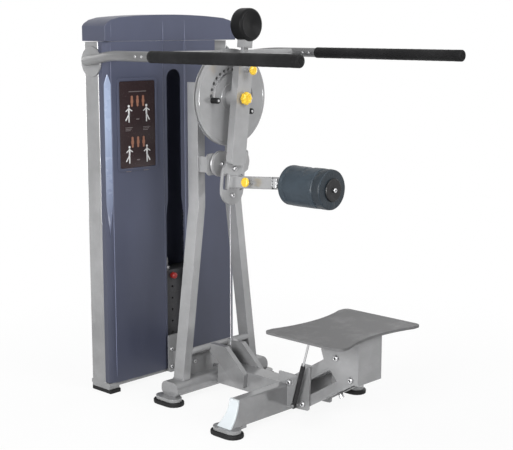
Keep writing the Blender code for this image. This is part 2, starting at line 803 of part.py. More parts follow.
def make_star_knob():
    """The clamping knob on the end of the shaft, with a lobed rim."""
    outline = []
    steps = KNOB_LOBES * 5
    for i in range(steps):
        angle = 2 * math.pi * i / steps
        radius = KNOB_RADIUS * (0.93 + 0.07 * math.cos(KNOB_LOBES * angle))
        outline.append((radius * math.cos(angle), radius * math.sin(angle)))
    face = LEVER_FRONT - GAP
    knob = plate("star_knob", "y", face - KNOB_LENGTH, face, [outline], yellow_plastic())
    depth = KNOB_LENGTH / 2
    bore = rod(
        "knob_bore", (0, LEVER_FRONT - depth - GAP, 0), (0, 0, 0), SHAFT_RADIUS + GAP
    )
    cut(knob, bore)
    empty = pivot("star_knob_axis", (0, 0, 0))
    carry(empty, knob, bore)
    return empty


def make_pull_pin(name, axis, centre, nose, barrel_end, travel):
    """A pull pin parked out: its nose is clear of its hole and its knob stands off by the travel."""
    knob_back = barrel_end - travel - GAP
    knob_front = knob_back - PIN_KNOB_LENGTH
    profile = [
        (0, nose),
        (PIN_RADIUS - 0.001, nose),
        (PIN_RADIUS, nose - 0.001),
        (PIN_RADIUS, knob_back),
        (PIN_KNOB_RADIUS * 0.6, knob_back),
        (PIN_KNOB_RADIUS, knob_back - PIN_KNOB_LENGTH * 0.4),
        (PIN_KNOB_RADIUS, knob_back - PIN_KNOB_LENGTH * 0.65),
        (PIN_KNOB_RADIUS * 0.8, knob_front + 0.002),
        (PIN_KNOB_RADIUS * 0.4, knob_front),
        (0, knob_front),
    ]
    return turned(name, axis, centre, profile, yellow_plastic(), steps=16)


def make_roller_arm(pivot_empty):
    """The oval plate and square sleeve on the lever's foot, the sliding bar, and the roller's spindle."""
    half = SLEEVE_WIDTH / 2
    inner = half - SLEEVE_WALL
    window_near = half + 0.0015
    window_far = HUB_PLATE_WIDTH / 2 - HUB_RIM
    window_half = HUB_WINDOW_HEIGHT / 2
    windows = []
    for side in (-1, 1):
        near = side * window_near
        far = side * window_far
        corners = rectangle(
            (min(near, far), -HUB_DROP - window_half), (max(near, far), -HUB_DROP + window_half)
        )
        windows.append(rounded(corners, 0.008, 2))
    hub = plate(
        "roller_mount",
        "y",
        HUB_FRONT,
        -LEVER_STAND_OFF,
        [stadium((0, -HUB_DROP), HUB_PLATE_HEIGHT, HUB_PLATE_WIDTH, 12), *windows],
        silver_paint(),
    )
    bolts = bolt_heads(
        [(0, -HUB_DROP + HUB_BOLT_SPACING / 2), (0, -HUB_DROP - HUB_BOLT_SPACING / 2)],
        "y",
        HUB_FRONT - BOLT_HEAD_HEIGHT,
        HUB_FRONT + WELD,
    )
    sleeve = plate(
        "sleeve",
        "y",
        -SLEEVE_LENGTH,
        WELD,
        [
            rounded(rectangle((-half, -half), (half, half)), 0.006, 3),
            rectangle((-inner, -inner), (inner, inner)),
        ],
    )
    barrel = rod(
        "sleeve_barrel",
        (-half - SLEEVE_BARREL_LENGTH, SLEEVE_PIN_PLACE, 0),
        (-half + WELD, SLEEVE_PIN_PLACE, 0),
        PIN_BARREL_RADIUS,
    )
    barrel_bore = rod(
        "sleeve_bore",
        (-half - SLEEVE_BARREL_LENGTH - 0.01, SLEEVE_PIN_PLACE, 0),
        (0, SLEEVE_PIN_PLACE, 0),
        PIN_RADIUS + GAP,
    )
    slide = pivot("roller_slide_axis", (0, HUB_FRONT, -HUB_DROP), (-SLEEVE_TILT, 0, 0))
    carry(pivot_empty, slide, hub, *bolts)
    carry(slide, sleeve, barrel, barrel_bore)
    join(hub, sleeve, barrel, *bolts)
    cut(hub, barrel_bore)

    bar_half = inner - GAP
    bar_end = -SLEEVE_LENGTH - SLIDE_BAR_SHOW
    bar = plate(
        "roller_shaft",
        "y",
        bar_end,
        -SLIDE_BAR_START,
        [rounded(rectangle((-bar_half, -bar_half), (bar_half, bar_half)), 0.004, 2)],
        steel(),
    )
    carry(slide, bar)
    for i in range(SLIDE_HOLE_COUNT):
        place = SLEEVE_PIN_PLACE + i * SLIDE_HOLE_PITCH
        hole = rod(
            "slide_hole",
            (-bar_half - 0.01, place, 0),
            (-bar_half + SLEEVE_PIN_TRAVEL, place, 0),
            PIN_RADIUS + 3 * GAP,
            sides=10,
        )
        carry(slide, hole)
        cut(bar, hole)
    elbow_y = HUB_FRONT + bar_end * math.cos(SLEEVE_TILT)
    elbow_z = -HUB_DROP - bar_end * math.sin(SLEEVE_TILT)
    roller_end = ROLLER_START - ROLLER_LENGTH
    spindle = rod(
        "spindle", (0, roller_end - GAP, elbow_z), (0, elbow_y + 0.006, elbow_z), SPINDLE_RADIUS
    )
    carry(pivot_empty, spindle)
    join(bar, spindle)

    bore = SPINDLE_RADIUS + RUNNING_GAP / 2
    profile = arc((ROLLER_RADIUS - ROLLER_EDGE, ROLLER_START - ROLLER_EDGE), ROLLER_EDGE, 90, 0, 3)
    profile += arc((ROLLER_RADIUS - ROLLER_EDGE, roller_end + ROLLER_EDGE), ROLLER_EDGE, 0, -90, 3)
    profile += [(bore, roller_end), (bore, ROLLER_START)]
    pad = turned("roller_pad", "y", (0, 0, elbow_z), profile, black_rubber(), closed=True, steps=32)
    cap_back = roller_end - 2 * GAP
    cap_front = cap_back - ROLLER_CAP_THICKNESS
    cap_profile = [
        (0, cap_back),
        (ROLLER_CAP_RADIUS, cap_back),
        (ROLLER_CAP_RADIUS - 0.003, cap_front),
        (BOLT_HEAD_RADIUS, cap_front),
        (BOLT_HEAD_RADIUS, cap_front - BOLT_HEAD_HEIGHT),
        (0, cap_front - BOLT_HEAD_HEIGHT),
    ]
    cap = turned("roller_cap", "y", (0, 0, elbow_z), cap_profile, black_plastic(), steps=24)
    carry(pivot_empty, pad, cap)
    pin = make_pull_pin(
        "sleeve_pin",
        "x",
        (0, SLEEVE_PIN_PLACE, 0),
        -inner - GAP,
        -half - SLEEVE_BARREL_LENGTH,
        SLEEVE_PIN_TRAVEL,
    )
    carry(slide, pin)


def leg_outline(side, inset):
    """One bent leg seen from the front: upright above, splayed below."""
    half = LEG_WIDTH / 2 - inset
    top = LEG_TOP - inset
    foot = BASE_TUBE_TOP + GAP if inset == 0 else BASE_TUBE_TOP - 0.01
    bend = LEG_BEND
    upper = LEG_TOP_OFFSET
    slope = (LEG_FOOT_OFFSET - LEG_TOP_OFFSET) / (LEG_BEND - BASE_TUBE_TOP)
    lower = LEG_TOP_OFFSET + slope * (LEG_BEND - foot)
    points = [
        (upper - half, top),
        (upper - half, bend),
        (lower - half, foot),
        (lower + half, foot),
        (upper + half, bend),
        (upper + half, top),
    ]
    return [(side * x, z) for x, z in points]


def make_a_frame():
    """Both legs with the bearing head, the lower cross tube and the bracket of the guide pulleys."""
    legs = []
    for side, name in ((-1, "left"), (1, "right")):
        leg = plate(name + "_leg", "y", LEG_FRONT, LEG_BACK, [leg_outline(side, 0)], silver_paint())
        hollow = plate(
            name + "_leg_hollow",
            "y",
            LEG_FRONT + LEG_WALL,
            LEG_BACK - LEG_WALL,
            [leg_outline(side, LEG_WALL)],
        )
        legs.append(cut(leg, hollow))
    frame = legs[0]
    frame.name = "a_frame"
    inner = LEG_TOP_OFFSET - LEG_WIDTH / 2 + WELD
    head = box(
        "head",
        (-inner, FRAME_DEPTH_PLACE - HEAD_DEPTH / 2, PIVOT_HEIGHT - HEAD_HEIGHT / 2),
        (inner, FRAME_DEPTH_PLACE + HEAD_DEPTH / 2, PIVOT_HEIGHT + HEAD_HEIGHT / 2),
    )
    housing = rod(
        "housing", (0, HOUSING_FRONT, PIVOT_HEIGHT), (0, HOUSING_BACK, PIVOT_HEIGHT), HOUSING_RADIUS, sides=24
    )
    slope = (LEG_FOOT_OFFSET - LEG_TOP_OFFSET) / (LEG_BEND - BASE_TUBE_TOP)
    reach = LEG_FOOT_OFFSET - slope * (CROSS_TUBE_HEIGHT - BASE_TUBE_TOP) - LEG_WIDTH / 2 + WELD
    cross = rod(
        "cross_tube",
        (-reach, CROSS_TUBE_PLACE + LEG_WALL, CROSS_TUBE_HEIGHT),
        (reach, CROSS_TUBE_PLACE + LEG_WALL, CROSS_TUBE_HEIGHT),
        CROSS_TUBE_RADIUS,
    )
    low = GUIDE_PULLEY_HEIGHT - PULLEY_PLATE_HEIGHT / 2
    high = GUIDE_PULLEY_HEIGHT + PULLEY_PLATE_HEIGHT / 2
    wide = PULLEY_PLATE_HALF_WIDTH
    face_back = PULLEY_PLATE_FRONT + PULLEY_PLATE_THICKNESS
    face = plate(
        "pulley_plate",
        "y",
        PULLEY_PLATE_FRONT,
        face_back,
        [rounded(rectangle((-wide, low), (wide, high)), 0.014)],
    )
    returns = []
    for side in (-1, 1):
        outer = side * (wide - 0.002)
        inner_side = side * (wide - 0.002 - PULLEY_PLATE_THICKNESS)
        returns.append(
            box(
                "plate_return",
                (min(outer, inner_side), face_back - WELD, low + 0.012),
                (max(outer, inner_side), LEG_FRONT + WELD, high - 0.012),
            )
        )
    axles = []
    for side in (-1, 1):
        x = side * GUIDE_PULLEY_OFFSET
        half = GUIDE_PULLEY_WIDTH / 2 + GAP
        axles.append(
            rod(
                "guide_axle",
                (x, CABLE_PLACE - half - 0.0005, GUIDE_PULLEY_HEIGHT),
                (x, PULLEY_PLATE_FRONT + WELD, GUIDE_PULLEY_HEIGHT),
                AXLE_RADIUS,
            )
        )
        axles.append(
            rod(
                "guide_bolt",
                (x, CABLE_PLACE - half - BOLT_HEAD_HEIGHT, GUIDE_PULLEY_HEIGHT),
                (x, CABLE_PLACE - half, GUIDE_PULLEY_HEIGHT),
                BOLT_HEAD_RADIUS,
                sides=12,
            )
        )
        axles.append(
            rod(
                "guide_spacer",
                (x, CABLE_PLACE + half, GUIDE_PULLEY_HEIGHT),
                (x, PULLEY_PLATE_FRONT + WELD, GUIDE_PULLEY_HEIGHT),
                BOLT_HEAD_RADIUS,
                sides=12,
            )
        )
    bore = rod(
        "housing_bore",
        (0, HOUSING_FRONT - 0.02, PIVOT_HEIGHT),
        (0, HOUSING_BACK + 0.02, PIVOT_HEIGHT),
        SHAFT_RADIUS + RUNNING_GAP / 2,
        sides=24,
    )
    join(frame, legs[1], head, housing, cross, face, *returns, *axles)
    cut(frame, bore)

    groove = GUIDE_PULLEY_OFFSET
    for side, name in ((-1, "left_guide_pulley"), (1, "right_guide_pulley")):
        place = (side * GUIDE_PULLEY_OFFSET, CABLE_PLACE, GUIDE_PULLEY_HEIGHT)
        pulley(name, "y", place, groove, GUIDE_PULLEY_WIDTH, 0.0023, steel())


def foot_plate(name, x, y, top):
    outline = stadium((x, y), FOOT_LENGTH - 2 * FOOT_PLATE_INSET, FOOT_WIDTH - 2 * FOOT_PLATE_INSET)
    return plate(name, "z", FOOT_HEIGHT + GAP, top, [outline])


def make_feet():
    places = (
        ("left_rear_foot", -REAR_FOOT_OFFSET, FRAME_DEPTH_PLACE),
        ("right_rear_foot", REAR_FOOT_OFFSET, FRAME_DEPTH_PLACE),
        ("left_front_foot", -FRONT_FOOT_OFFSET, FRONT_FOOT_PLACE),
        ("right_front_foot", FRONT_FOOT_OFFSET, FRONT_FOOT_PLACE),
    )
    for name, x, y in places:
        plate(name, "z", 0, FOOT_HEIGHT, [stadium((x, y), FOOT_LENGTH, FOOT_WIDTH)], black_rubber())


def make_base_tube():
    """The flat-sided rear base tube with its foot plates and the web plate between the legs."""
    low = (BASE_TUBE_FRONT, BASE_TUBE_BOTTOM)
    high = (BASE_TUBE_BACK, BASE_TUBE_TOP)
    tube = plate(
        "base_tube",
        "x",
        -BASE_TUBE_HALF_LENGTH,
        BASE_TUBE_HALF_LENGTH,
        [rounded(rectangle(low, high), BASE_TUBE_CORNER, 6)],
        silver_paint(),
    )
    web_front = FRAME_DEPTH_PLACE + 0.012
    hole = circle((0, CABLE_HEIGHT), 0.007, 16)
    web = plate(
        "web_plate",
        "y",
        web_front,
        web_front + WEB_PLATE_THICKNESS,
        [
            rectangle((-WEB_PLATE_HALF_WIDTH, BASE_TUBE_TOP - WELD), (WEB_PLATE_HALF_WIDTH, WEB_PLATE_TOP)),
            hole,
        ],
    )
    feet = [
        foot_plate("rear_foot_plate", side * REAR_FOOT_OFFSET, FRAME_DEPTH_PLACE, BASE_TUBE_BOTTOM + 0.003)
        for side in (-1, 1)
    ]
    join(tube, web, *feet)


def make_beams():
    """The centre beam with its two braces and pulley clevis, and the rear beam bolted to the tower."""
    half = BEAM_WIDTH / 2
    outer = rectangle((-half, BEAM_BOTTOM), (half, BEAM_TOP))
    inner = rectangle(
        (-half + BEAM_WALL, BEAM_BOTTOM + BEAM_WALL), (half - BEAM_WALL, BEAM_TOP - BEAM_WALL)
    )
    beam = plate(
        "center_beam",
        "y",
        FRONT_TUBE_BACK + GAP,
        BASE_TUBE_FRONT - GAP,
        [outer, inner],
        silver_paint(),
    )
    slot_half = PULLEY_WIDTH / 2 + 0.003
    slot = box(
        "beam_slot",
        (-slot_half, -0.010, BEAM_TOP - 2 * BEAM_WALL),
        (slot_half, BASE_TUBE_FRONT + 0.01, BEAM_TOP + 0.01),
    )
    cheek_inner = PULLEY_WIDTH / 2 + RUNNING_GAP
    cheeks = []
    for side in (-1, 1):
        near = side * cheek_inner
        far = side * (cheek_inner + CHEEK_THICKNESS + 0.003)
        cheeks.append(
            box(
                "clevis_cheek",
                (min(near, far), FRAME_PULLEY_PLACE - 0.010, BEAM_TOP - BEAM_WALL + 0.0005),
                (max(near, far), BASE_TUBE_FRONT - GAP - 0.0005, FRAME_PULLEY_HEIGHT + 0.012),
            )
        )
    axle = rod(
        "clevis_axle",
        (-cheek_inner - CHEEK_THICKNESS, FRAME_PULLEY_PLACE, FRAME_PULLEY_HEIGHT),
        (cheek_inner + CHEEK_THICKNESS, FRAME_PULLEY_PLACE, FRAME_PULLEY_HEIGHT),
        AXLE_RADIUS,
    )
    outline = list(BRACE_OUTLINE)
    braces = []
    for side in (-1, 1):
        near = side * (half - WELD)
        far = side * (half + BRACE_THICKNESS)
        brace = plate("brace", "x", min(near, far), max(near, far), [rounded(outline, 0.006, 2)])
        braces.append(brace)
    cross_relief = rod(
        "cross_relief",
        (-0.2, CROSS_TUBE_PLACE + LEG_WALL, CROSS_TUBE_HEIGHT),
        (0.2, CROSS_TUBE_PLACE + LEG_WALL, CROSS_TUBE_HEIGHT),
        CROSS_TUBE_RADIUS + GAP,
    )
    cut(beam, slot)
    join(beam, *braces, *cheeks, axle)
    cut(beam, cross_relief)

    rear = plate(
        "rear_beam",
        "y",
        BASE_TUBE_BACK + GAP,
        FLANGE_FRONT + WELD,
        [outer, inner],
        silver_paint(),
    )
    flange = plate(
        "tower_flange",
        "y",
        FLANGE_FRONT,
        FLANGE_BACK,
        [
            rounded(
                rectangle(
                    (-FLANGE_HALF_WIDTH, BEAM_BOTTOM), (FLANGE_HALF_WIDTH, BEAM_BOTTOM + FLANGE_HEIGHT)
                ),
                0.008,
            ),
            circle((0, CABLE_HEIGHT), 0.008, 16),
        ],
    )
    spread = FLANGE_HALF_WIDTH - 0.013
    bolts = bolt_heads(
        [
            (-spread, BEAM_TOP + 0.012),
            (spread, BEAM_TOP + 0.012),
            (-spread, BEAM_BOTTOM + 0.018),
            (spread, BEAM_BOTTOM + 0.018),
        ],
        "y",
        FLANGE_FRONT - BOLT_HEAD_HEIGHT,
        FLANGE_FRONT + WELD,
        0.008,
    )
    join(rear, flange, *bolts)


def make_front_tube():
    """The tall front cross tube on its feet, with a flared plastic cap on each end."""
    outer = rounded(
        rectangle((FRONT_TUBE_FRONT, FRONT_TUBE_BOTTOM), (FRONT_TUBE_BACK, FRONT_TUBE_TOP)), 0.006, 3
    )
    wall = FRONT_TUBE_WALL
    inner = rectangle(
        (FRONT_TUBE_FRONT + wall, FRONT_TUBE_BOTTOM + wall), (FRONT_TUBE_BACK - wall, FRONT_TUBE_TOP - wall)
    )
    tube = plate(
        "front_tube", "x", -FRONT_TUBE_HALF_LENGTH, FRONT_TUBE_HALF_LENGTH, [outer, inner], silver_paint()
    )
    top = FRONT_TUBE_BOTTOM + 0.003
    feet = []
    for side in (-1, 1):
        feet.append(foot_plate("front_foot_plate", side * FRONT_FOOT_OFFSET, FRONT_FOOT_PLACE, top))
        near = side * (FRONT_TUBE_HALF_LENGTH - 0.040)
        far = side * FRONT_FOOT_OFFSET
        feet.append(
            box(
                "front_foot_tab",
                (min(near, far), FRONT_TUBE_FRONT + 0.001, FOOT_HEIGHT + 0.002),
                (max(near, far), FRONT_TUBE_BACK - 0.001, top - 0.001),
            )
        )
    clearance = LINK_DEPTH / 2 + 0.002
    relief = rod(
        "link_relief",
        (-LINK_SIDE - 0.001, *UPPER_PIVOT),
        (LINK_SIDE + 0.001, *UPPER_PIVOT),
        clearance,
        sides=32,
    )
    join(tube, *feet)
    cut(tube, relief)
    for side, name in ((-1, "left_end_cap"), (1, "right_end_cap")):
        make_end_cap(name, side, top + GAP)


def make_end_cap(name, side, bottom):
    """A cap lofted from the tube's tall end to a longer, deeper foot."""
    inner = side * (FRONT_TUBE_HALF_LENGTH + GAP)
    top = FRONT_TUBE_TOP
    rows = 5
    shape = bmesh.new()
    rings = []
    for i in range(rows):
        share = i / (rows - 1)
        flare = share * share
        z = top + (bottom - top) * share
        outer = inner + side * (END_CAP_TOP_LENGTH + (END_CAP_FOOT_LENGTH - END_CAP_TOP_LENGTH) * flare)
        back = FRONT_TUBE_BACK + (END_CAP_FOOT_DEPTH - FRONT_TUBE_DEPTH) * flare
        front = FRONT_TUBE_FRONT
        corners = [(inner, front, z), (outer, front, z), (outer, back, z), (inner, back, z)]
        rings.append([shape.verts.new(corner) for corner in corners])
    for upper, lower in zip(rings, rings[1:]):
        for i in range(4):
            j = (i + 1) % 4
            shape.faces.new((upper[i], upper[j], lower[j], lower[i]))
    shape.faces.new(rings[0])
    shape.faces.new(rings[-1])
    bmesh.ops.recalc_face_normals(shape, faces=shape.faces)
    mesh = bpy.data.meshes.new(name)
    shape.to_mesh(mesh)
    shape.free()
    cap = new_object(name, mesh, material("white_plastic", (0.8, 0.82, 0.84), 0.4, 0.0))
    edges = cap.modifiers.new("Edges", "BEVEL")
    edges.width = 0.003
    edges.segments = 2
    edges.limit_method = "ANGLE"
    edges.angle_limit = math.radians(50)


def cross_pin(name, place, half_length, radius, sides=14):
    return rod(name, (-half_length, *place), (half_length, *place), radius, sides=sides)


def pivot_heads(place):
    heads = []
    for side in (-1, 1):
        near = side * (PLATE_OUTER - WELD)
        far = side * (PLATE_OUTER + BOLT_HEAD_HEIGHT)
        heads.append(rod("pivot_head", (near, *place), (far, *place), PIVOT_HEAD_RADIUS, sides=12))
    return heads


def make_platform_bracket():
    """The fork bolted to the front tube. It holds both link pivots and the gas spring's lower stud."""
    outline = [
        (FRONT_TUBE_FRONT - GAP, BRACKET_BOTTOM),
        (FRONT_TUBE_FRONT - GAP, FRONT_TUBE_TOP + GAP),
        (FRONT_TUBE_BACK, FRONT_TUBE_TOP + GAP),
        (FRONT_TUBE_BACK, BRACKET_TOP),
        (BRACKET_SHOULDER, BRACKET_TOP),
        BRACKET_NOSE,
        BRACKET_TOE,
    ]
    sides = []
    for side in (-1, 1):
        near = side * (PLATE_OUTER - PLATE_THICKNESS)
        far = side * PLATE_OUTER
        sides.append(
            plate(
                "bracket_side",
                "x",
                min(near, far),
                max(near, far),
                [rounded(outline, [0, 0, 0, 0.004, 0.01, 0.006, 0.01], 3)],
                silver_paint(),
            )
        )
    bracket = sides[0]
    bracket.name = "platform_bracket"
    inner = PLATE_OUTER - PLATE_THICKNESS + WELD
    web_back = FRONT_TUBE_FRONT - GAP
    web = box("bracket_web", (-inner, web_back - PLATE_THICKNESS, 0.050), (inner, web_back, 0.120))
    pins = [
        cross_pin("pivot_pin", UPPER_PIVOT, inner, PIVOT_PIN_RADIUS),
        cross_pin("pivot_pin", LOWER_PIVOT, inner, PIVOT_PIN_RADIUS),
    ]
    stud_end = -SPRING_OFFSET - SPRING_EYE_WIDTH / 2
    stud = rod(
        "spring_stud",
        (stud_end - 0.003, *SPRING_FOOT),
        (-PLATE_OUTER + WELD, *SPRING_FOOT),
        SPRING_STUD_RADIUS,
    )
    stud_collar = rod(
        "spring_collar",
        (-SPRING_OFFSET + SPRING_EYE_WIDTH / 2 + GAP, *SPRING_FOOT),
        (-PLATE_OUTER + WELD, *SPRING_FOOT),
        0.007,
    )
    stud_head = rod(
        "spring_stud_head",
        (stud_end - GAP - 0.004, *SPRING_FOOT),
        (stud_end - GAP, *SPRING_FOOT),
        0.007,
    )
    join(
        bracket,
        sides[1],
        web,
        *pins,
        *pivot_heads(UPPER_PIVOT),
        *pivot_heads(LOWER_PIVOT),
        stud,
        stud_collar,
        stud_head,
    )


def link_bars(name, with_rail):
    """Two side bars with bored round ends and a tie between. Built along -Y from the pivot at the origin."""
    reach = LINK_DEPTH / 2
    ends = arc((0, 0), reach, -90, 90, 8) + arc((-LINK_LENGTH, 0), reach, 90, 270, 8)
    holes = [
        circle((0, 0), PIVOT_PIN_RADIUS + GAP, 14),
        circle((-LINK_LENGTH, 0), PIVOT_PIN_RADIUS + GAP, 14),
    ]
    bars = []
    for side in (-1, 1):
        near = side * (LINK_SIDE - LINK_BAR_THICKNESS)
        far = side * LINK_SIDE
        bars.append(plate("link_bar", "x", min(near, far), max(near, far), [ends, *holes], silver_paint()))
    link = bars[0]
    link.name = name
    span = LINK_SIDE - LINK_BAR_THICKNESS + WELD
    tie = rod("link_tie", (-span, -LINK_LENGTH / 2, 0), (span, -LINK_LENGTH / 2, 0), LINK_TIE_RADIUS)
    extras = [bars[1], tie]
    if with_rail:
        rail = box(
            "link_rail",
            (-LINK_SIDE + 0.002, -LINK_LENGTH + 0.045, -reach - LINK_RAIL_HEIGHT),
            (LINK_SIDE - 0.002, -0.080, -reach + WELD),
        )
        extras.append(rail)
    join(link, *extras)
    return [link, *extras]


def make_links():
    """The two parallel links. Each is built level and turned up to the angle shown, about its rear pivot."""
    upper_axis = pivot("upper_link_axis", (0, *UPPER_PIVOT), (-LINK_ANGLE, 0, 0))
    lower_axis = pivot("lower_link_axis", (0, *LOWER_PIVOT), (-LINK_ANGLE, 0, 0))
    carry(upper_axis, *link_bars("upper_link", True))
    lower = link_bars("lower_link", False)
    socket = rod(
        "release_socket",
        (0, -LINK_LENGTH / 2, -LINK_TIE_RADIUS - 0.016),
        (0, -LINK_LENGTH / 2, 0),
        PIN_BARREL_RADIUS,
    )
    socket_bore = rod(
        "release_bore",
        (0, -LINK_LENGTH / 2, -0.1),
        (0, -LINK_LENGTH / 2, -LINK_TIE_RADIUS),
        PIN_RADIUS + GAP,
        sides=16,
    )
    join(lower[0], socket)
    cut(lower[0], socket_bore)
    bottom = -LINK_TIE_RADIUS - 0.016 - GAP
    knob = turned(
        "release_pin",
        "z",
        (0, -LINK_LENGTH / 2, 0),
        [
            (0, bottom + 0.014),
            (PIN_RADIUS, bottom + 0.014),
            (PIN_RADIUS, bottom),
            (PIN_BARREL_RADIUS, bottom),
            (PIN_BARREL_RADIUS, bottom - RELEASE_KNOB_LENGTH),
            (0, bottom - RELEASE_KNOB_LENGTH),
        ],
        steel(),
        steps=16,
    )
    carry(lower_axis, *lower, socket, socket_bore, knob)


def make_carriage():
    """The box under the deck, with the links' front pivots inside it."""
    top = DECK_BOTTOM - GAP
    outline = [
        (CARRIAGE_FRONT, CARRIAGE_BOTTOM),
        (CARRIAGE_FRONT, top),
        (CARRIAGE_BACK, top),
        CARRIAGE_SLOPE_TOP,
        CARRIAGE_SLOPE_MIDDLE,
        (CARRIAGE_HEEL, CARRIAGE_BOTTOM - CARRIAGE_HEEL_DROP),
    ]
    walls = []
    for side in (-1, 1):
        near = side * (PLATE_OUTER - PLATE_THICKNESS)
        far = side * PLATE_OUTER
        walls.append(
            plate("carriage_side", "x", min(near, far), max(near, far), [outline], silver_paint())
        )
    carriage = walls[0]
    carriage.name = "carriage"
    inner = PLATE_OUTER - PLATE_THICKNESS + WELD
    face = box(
        "carriage_face",
        (-inner, CARRIAGE_FRONT, CARRIAGE_BOTTOM),
        (inner, CARRIAGE_FRONT + PLATE_THICKNESS, top),
    )
    roof = box(
        "carriage_roof",
        (-inner, CARRIAGE_FRONT + WELD, top - PLATE_THICKNESS),
        (inner, CARRIAGE_BACK, top),
    )
    pins = [
        cross_pin("pivot_pin", UPPER_JOINT, inner, PIVOT_PIN_RADIUS),
        cross_pin("pivot_pin", LOWER_JOINT, inner, PIVOT_PIN_RADIUS),
    ]
    join(carriage, walls[1], face, roof, *pins, *pivot_heads(UPPER_JOINT), *pivot_heads(LOWER_JOINT))


def make_deck():
    """The standing plate, waisted front and back, with the gas spring's ear below it."""
    wide = DECK_HALF_WIDTH
    chord = wide - 2 * DECK_CORNER
    bow = (chord * chord + DECK_WAIST * DECK_WAIST) / (2 * DECK_WAIST)
    sweep = math.degrees(math.asin(chord / bow))
    back = arc((0, DECK_BACK - DECK_WAIST + bow), bow, 270 - sweep, 270 + sweep, 12)
    front = arc((0, DECK_FRONT + DECK_WAIST - bow), bow, 90 - sweep, 90 + sweep, 12)
    outline = back + corner_points((wide, DECK_BACK), 1) + corner_points((wide, DECK_FRONT), 2)
    outline += front + corner_points((-wide, DECK_FRONT), 3) + corner_points((-wide, DECK_BACK), 4)
    deck = plate(
        "deck",
        "z",
        DECK_BOTTOM,
        DECK_TOP,
        [outline],
        material("deck_grey", (0.17, 0.17, 0.175), 0.5, 0.2),
    )
    ear_outer = -SPRING_OFFSET - SPRING_RADIUS - 0.001 - EAR_THICKNESS
    ear_low = SPRING_HEAD[1] - EAR_DROP
    ear_outline = [
        (EAR_BACK, DECK_BOTTOM + WELD),
        (EAR_BACK - EAR_BACK_TAPER, ear_low),
        (EAR_FRONT + EAR_FRONT_TAPER, ear_low),
        (EAR_FRONT, DECK_BOTTOM + WELD),
    ]
    ear = plate(
        "spring_ear",
        "x",
        ear_outer,
        ear_outer + EAR_THICKNESS,
        [ear_outline],
    )
    stud = rod(
        "head_stud",
        (ear_outer + WELD, *SPRING_HEAD),
        (-SPRING_OFFSET + SPRING_EYE_WIDTH / 2 + 0.003, *SPRING_HEAD),
        SPRING_STUD_RADIUS,
    )
    join(deck, ear, stud)


def corner_points(corner, quarter):
    """A rounded deck corner; quarters run clockwise from the right rear one."""
    x, y = corner
    side_x = -1 if x > 0 else 1
    side_y = -1 if quarter in (1, 4) else 1
    centre = (x + side_x * DECK_CORNER, y + side_y * DECK_CORNER)
    start = {1: 90, 2: 0, 3: 270, 4: 180}[quarter]
    return arc(centre, DECK_CORNER, start, start - 90, 5)


def make_gas_spring():
    """The gas spring beside the links: a black cylinder on the lower stud and a bright rod to the deck."""
    foot = Vector((0, *SPRING_FOOT))
    head = Vector((0, *SPRING_HEAD))
    span = head - foot
    lean = math.atan2(-span.y, span.z)
    length = span.length
    axis = pivot("gas_cylinder_axis", (-SPRING_OFFSET, *SPRING_FOOT), (lean, 0, 0))
    half = SPRING_EYE_WIDTH / 2
    bore = SPRING_ROD_RADIUS + RUNNING_GAP / 2
    cylinder = turned(
        "gas_cylinder",
        "z",
        (0, 0, 0),
        [
            (SPRING_RADIUS - 0.002, SPRING_CYLINDER_LENGTH),
            (SPRING_RADIUS, SPRING_CYLINDER_LENGTH - 0.003),
            (SPRING_RADIUS, 0.016),
            (0, 0.009),
            (0, 0.017),
            (bore, 0.017),
            (bore, SPRING_CYLINDER_LENGTH),
        ],
        black_plastic(),
        closed=True,
        steps=20,
    )
    foot_eye = plate("foot_eye", "x", -half, half, [circle((0, 0), SPRING_EYE_RADIUS - 0.001, 20)])
    foot_circle = circle((0, 0), SPRING_STUD_RADIUS + GAP, 16)
    foot_bore = plate("foot_bore", "x", -1.5 * half, 1.5 * half, [foot_circle])
    join(cylinder, foot_eye)
    cut(cylinder, foot_bore)
    rod_low = length - SPRING_ROD_LENGTH
    rod_high = length - SPRING_EYE_RADIUS + 0.002
    piston = rod("gas_rod", (0, 0, rod_low), (0, 0, rod_high), SPRING_ROD_RADIUS, steel(), 16)
    head_eye = plate("head_eye", "x", -half, half, [circle((0, length), SPRING_EYE_RADIUS, 20)])
    head_bore = plate(
        "head_bore", "x", -1.5 * half, 1.5 * half, [circle((0, length), SPRING_STUD_RADIUS + SPRING_HEAD_PLAY, 20)]
    )
    join(piston, head_eye)
    cut(piston, head_bore)
    carry(axis, cylinder, foot_eye, foot_bore, piston, head_eye, head_bore)


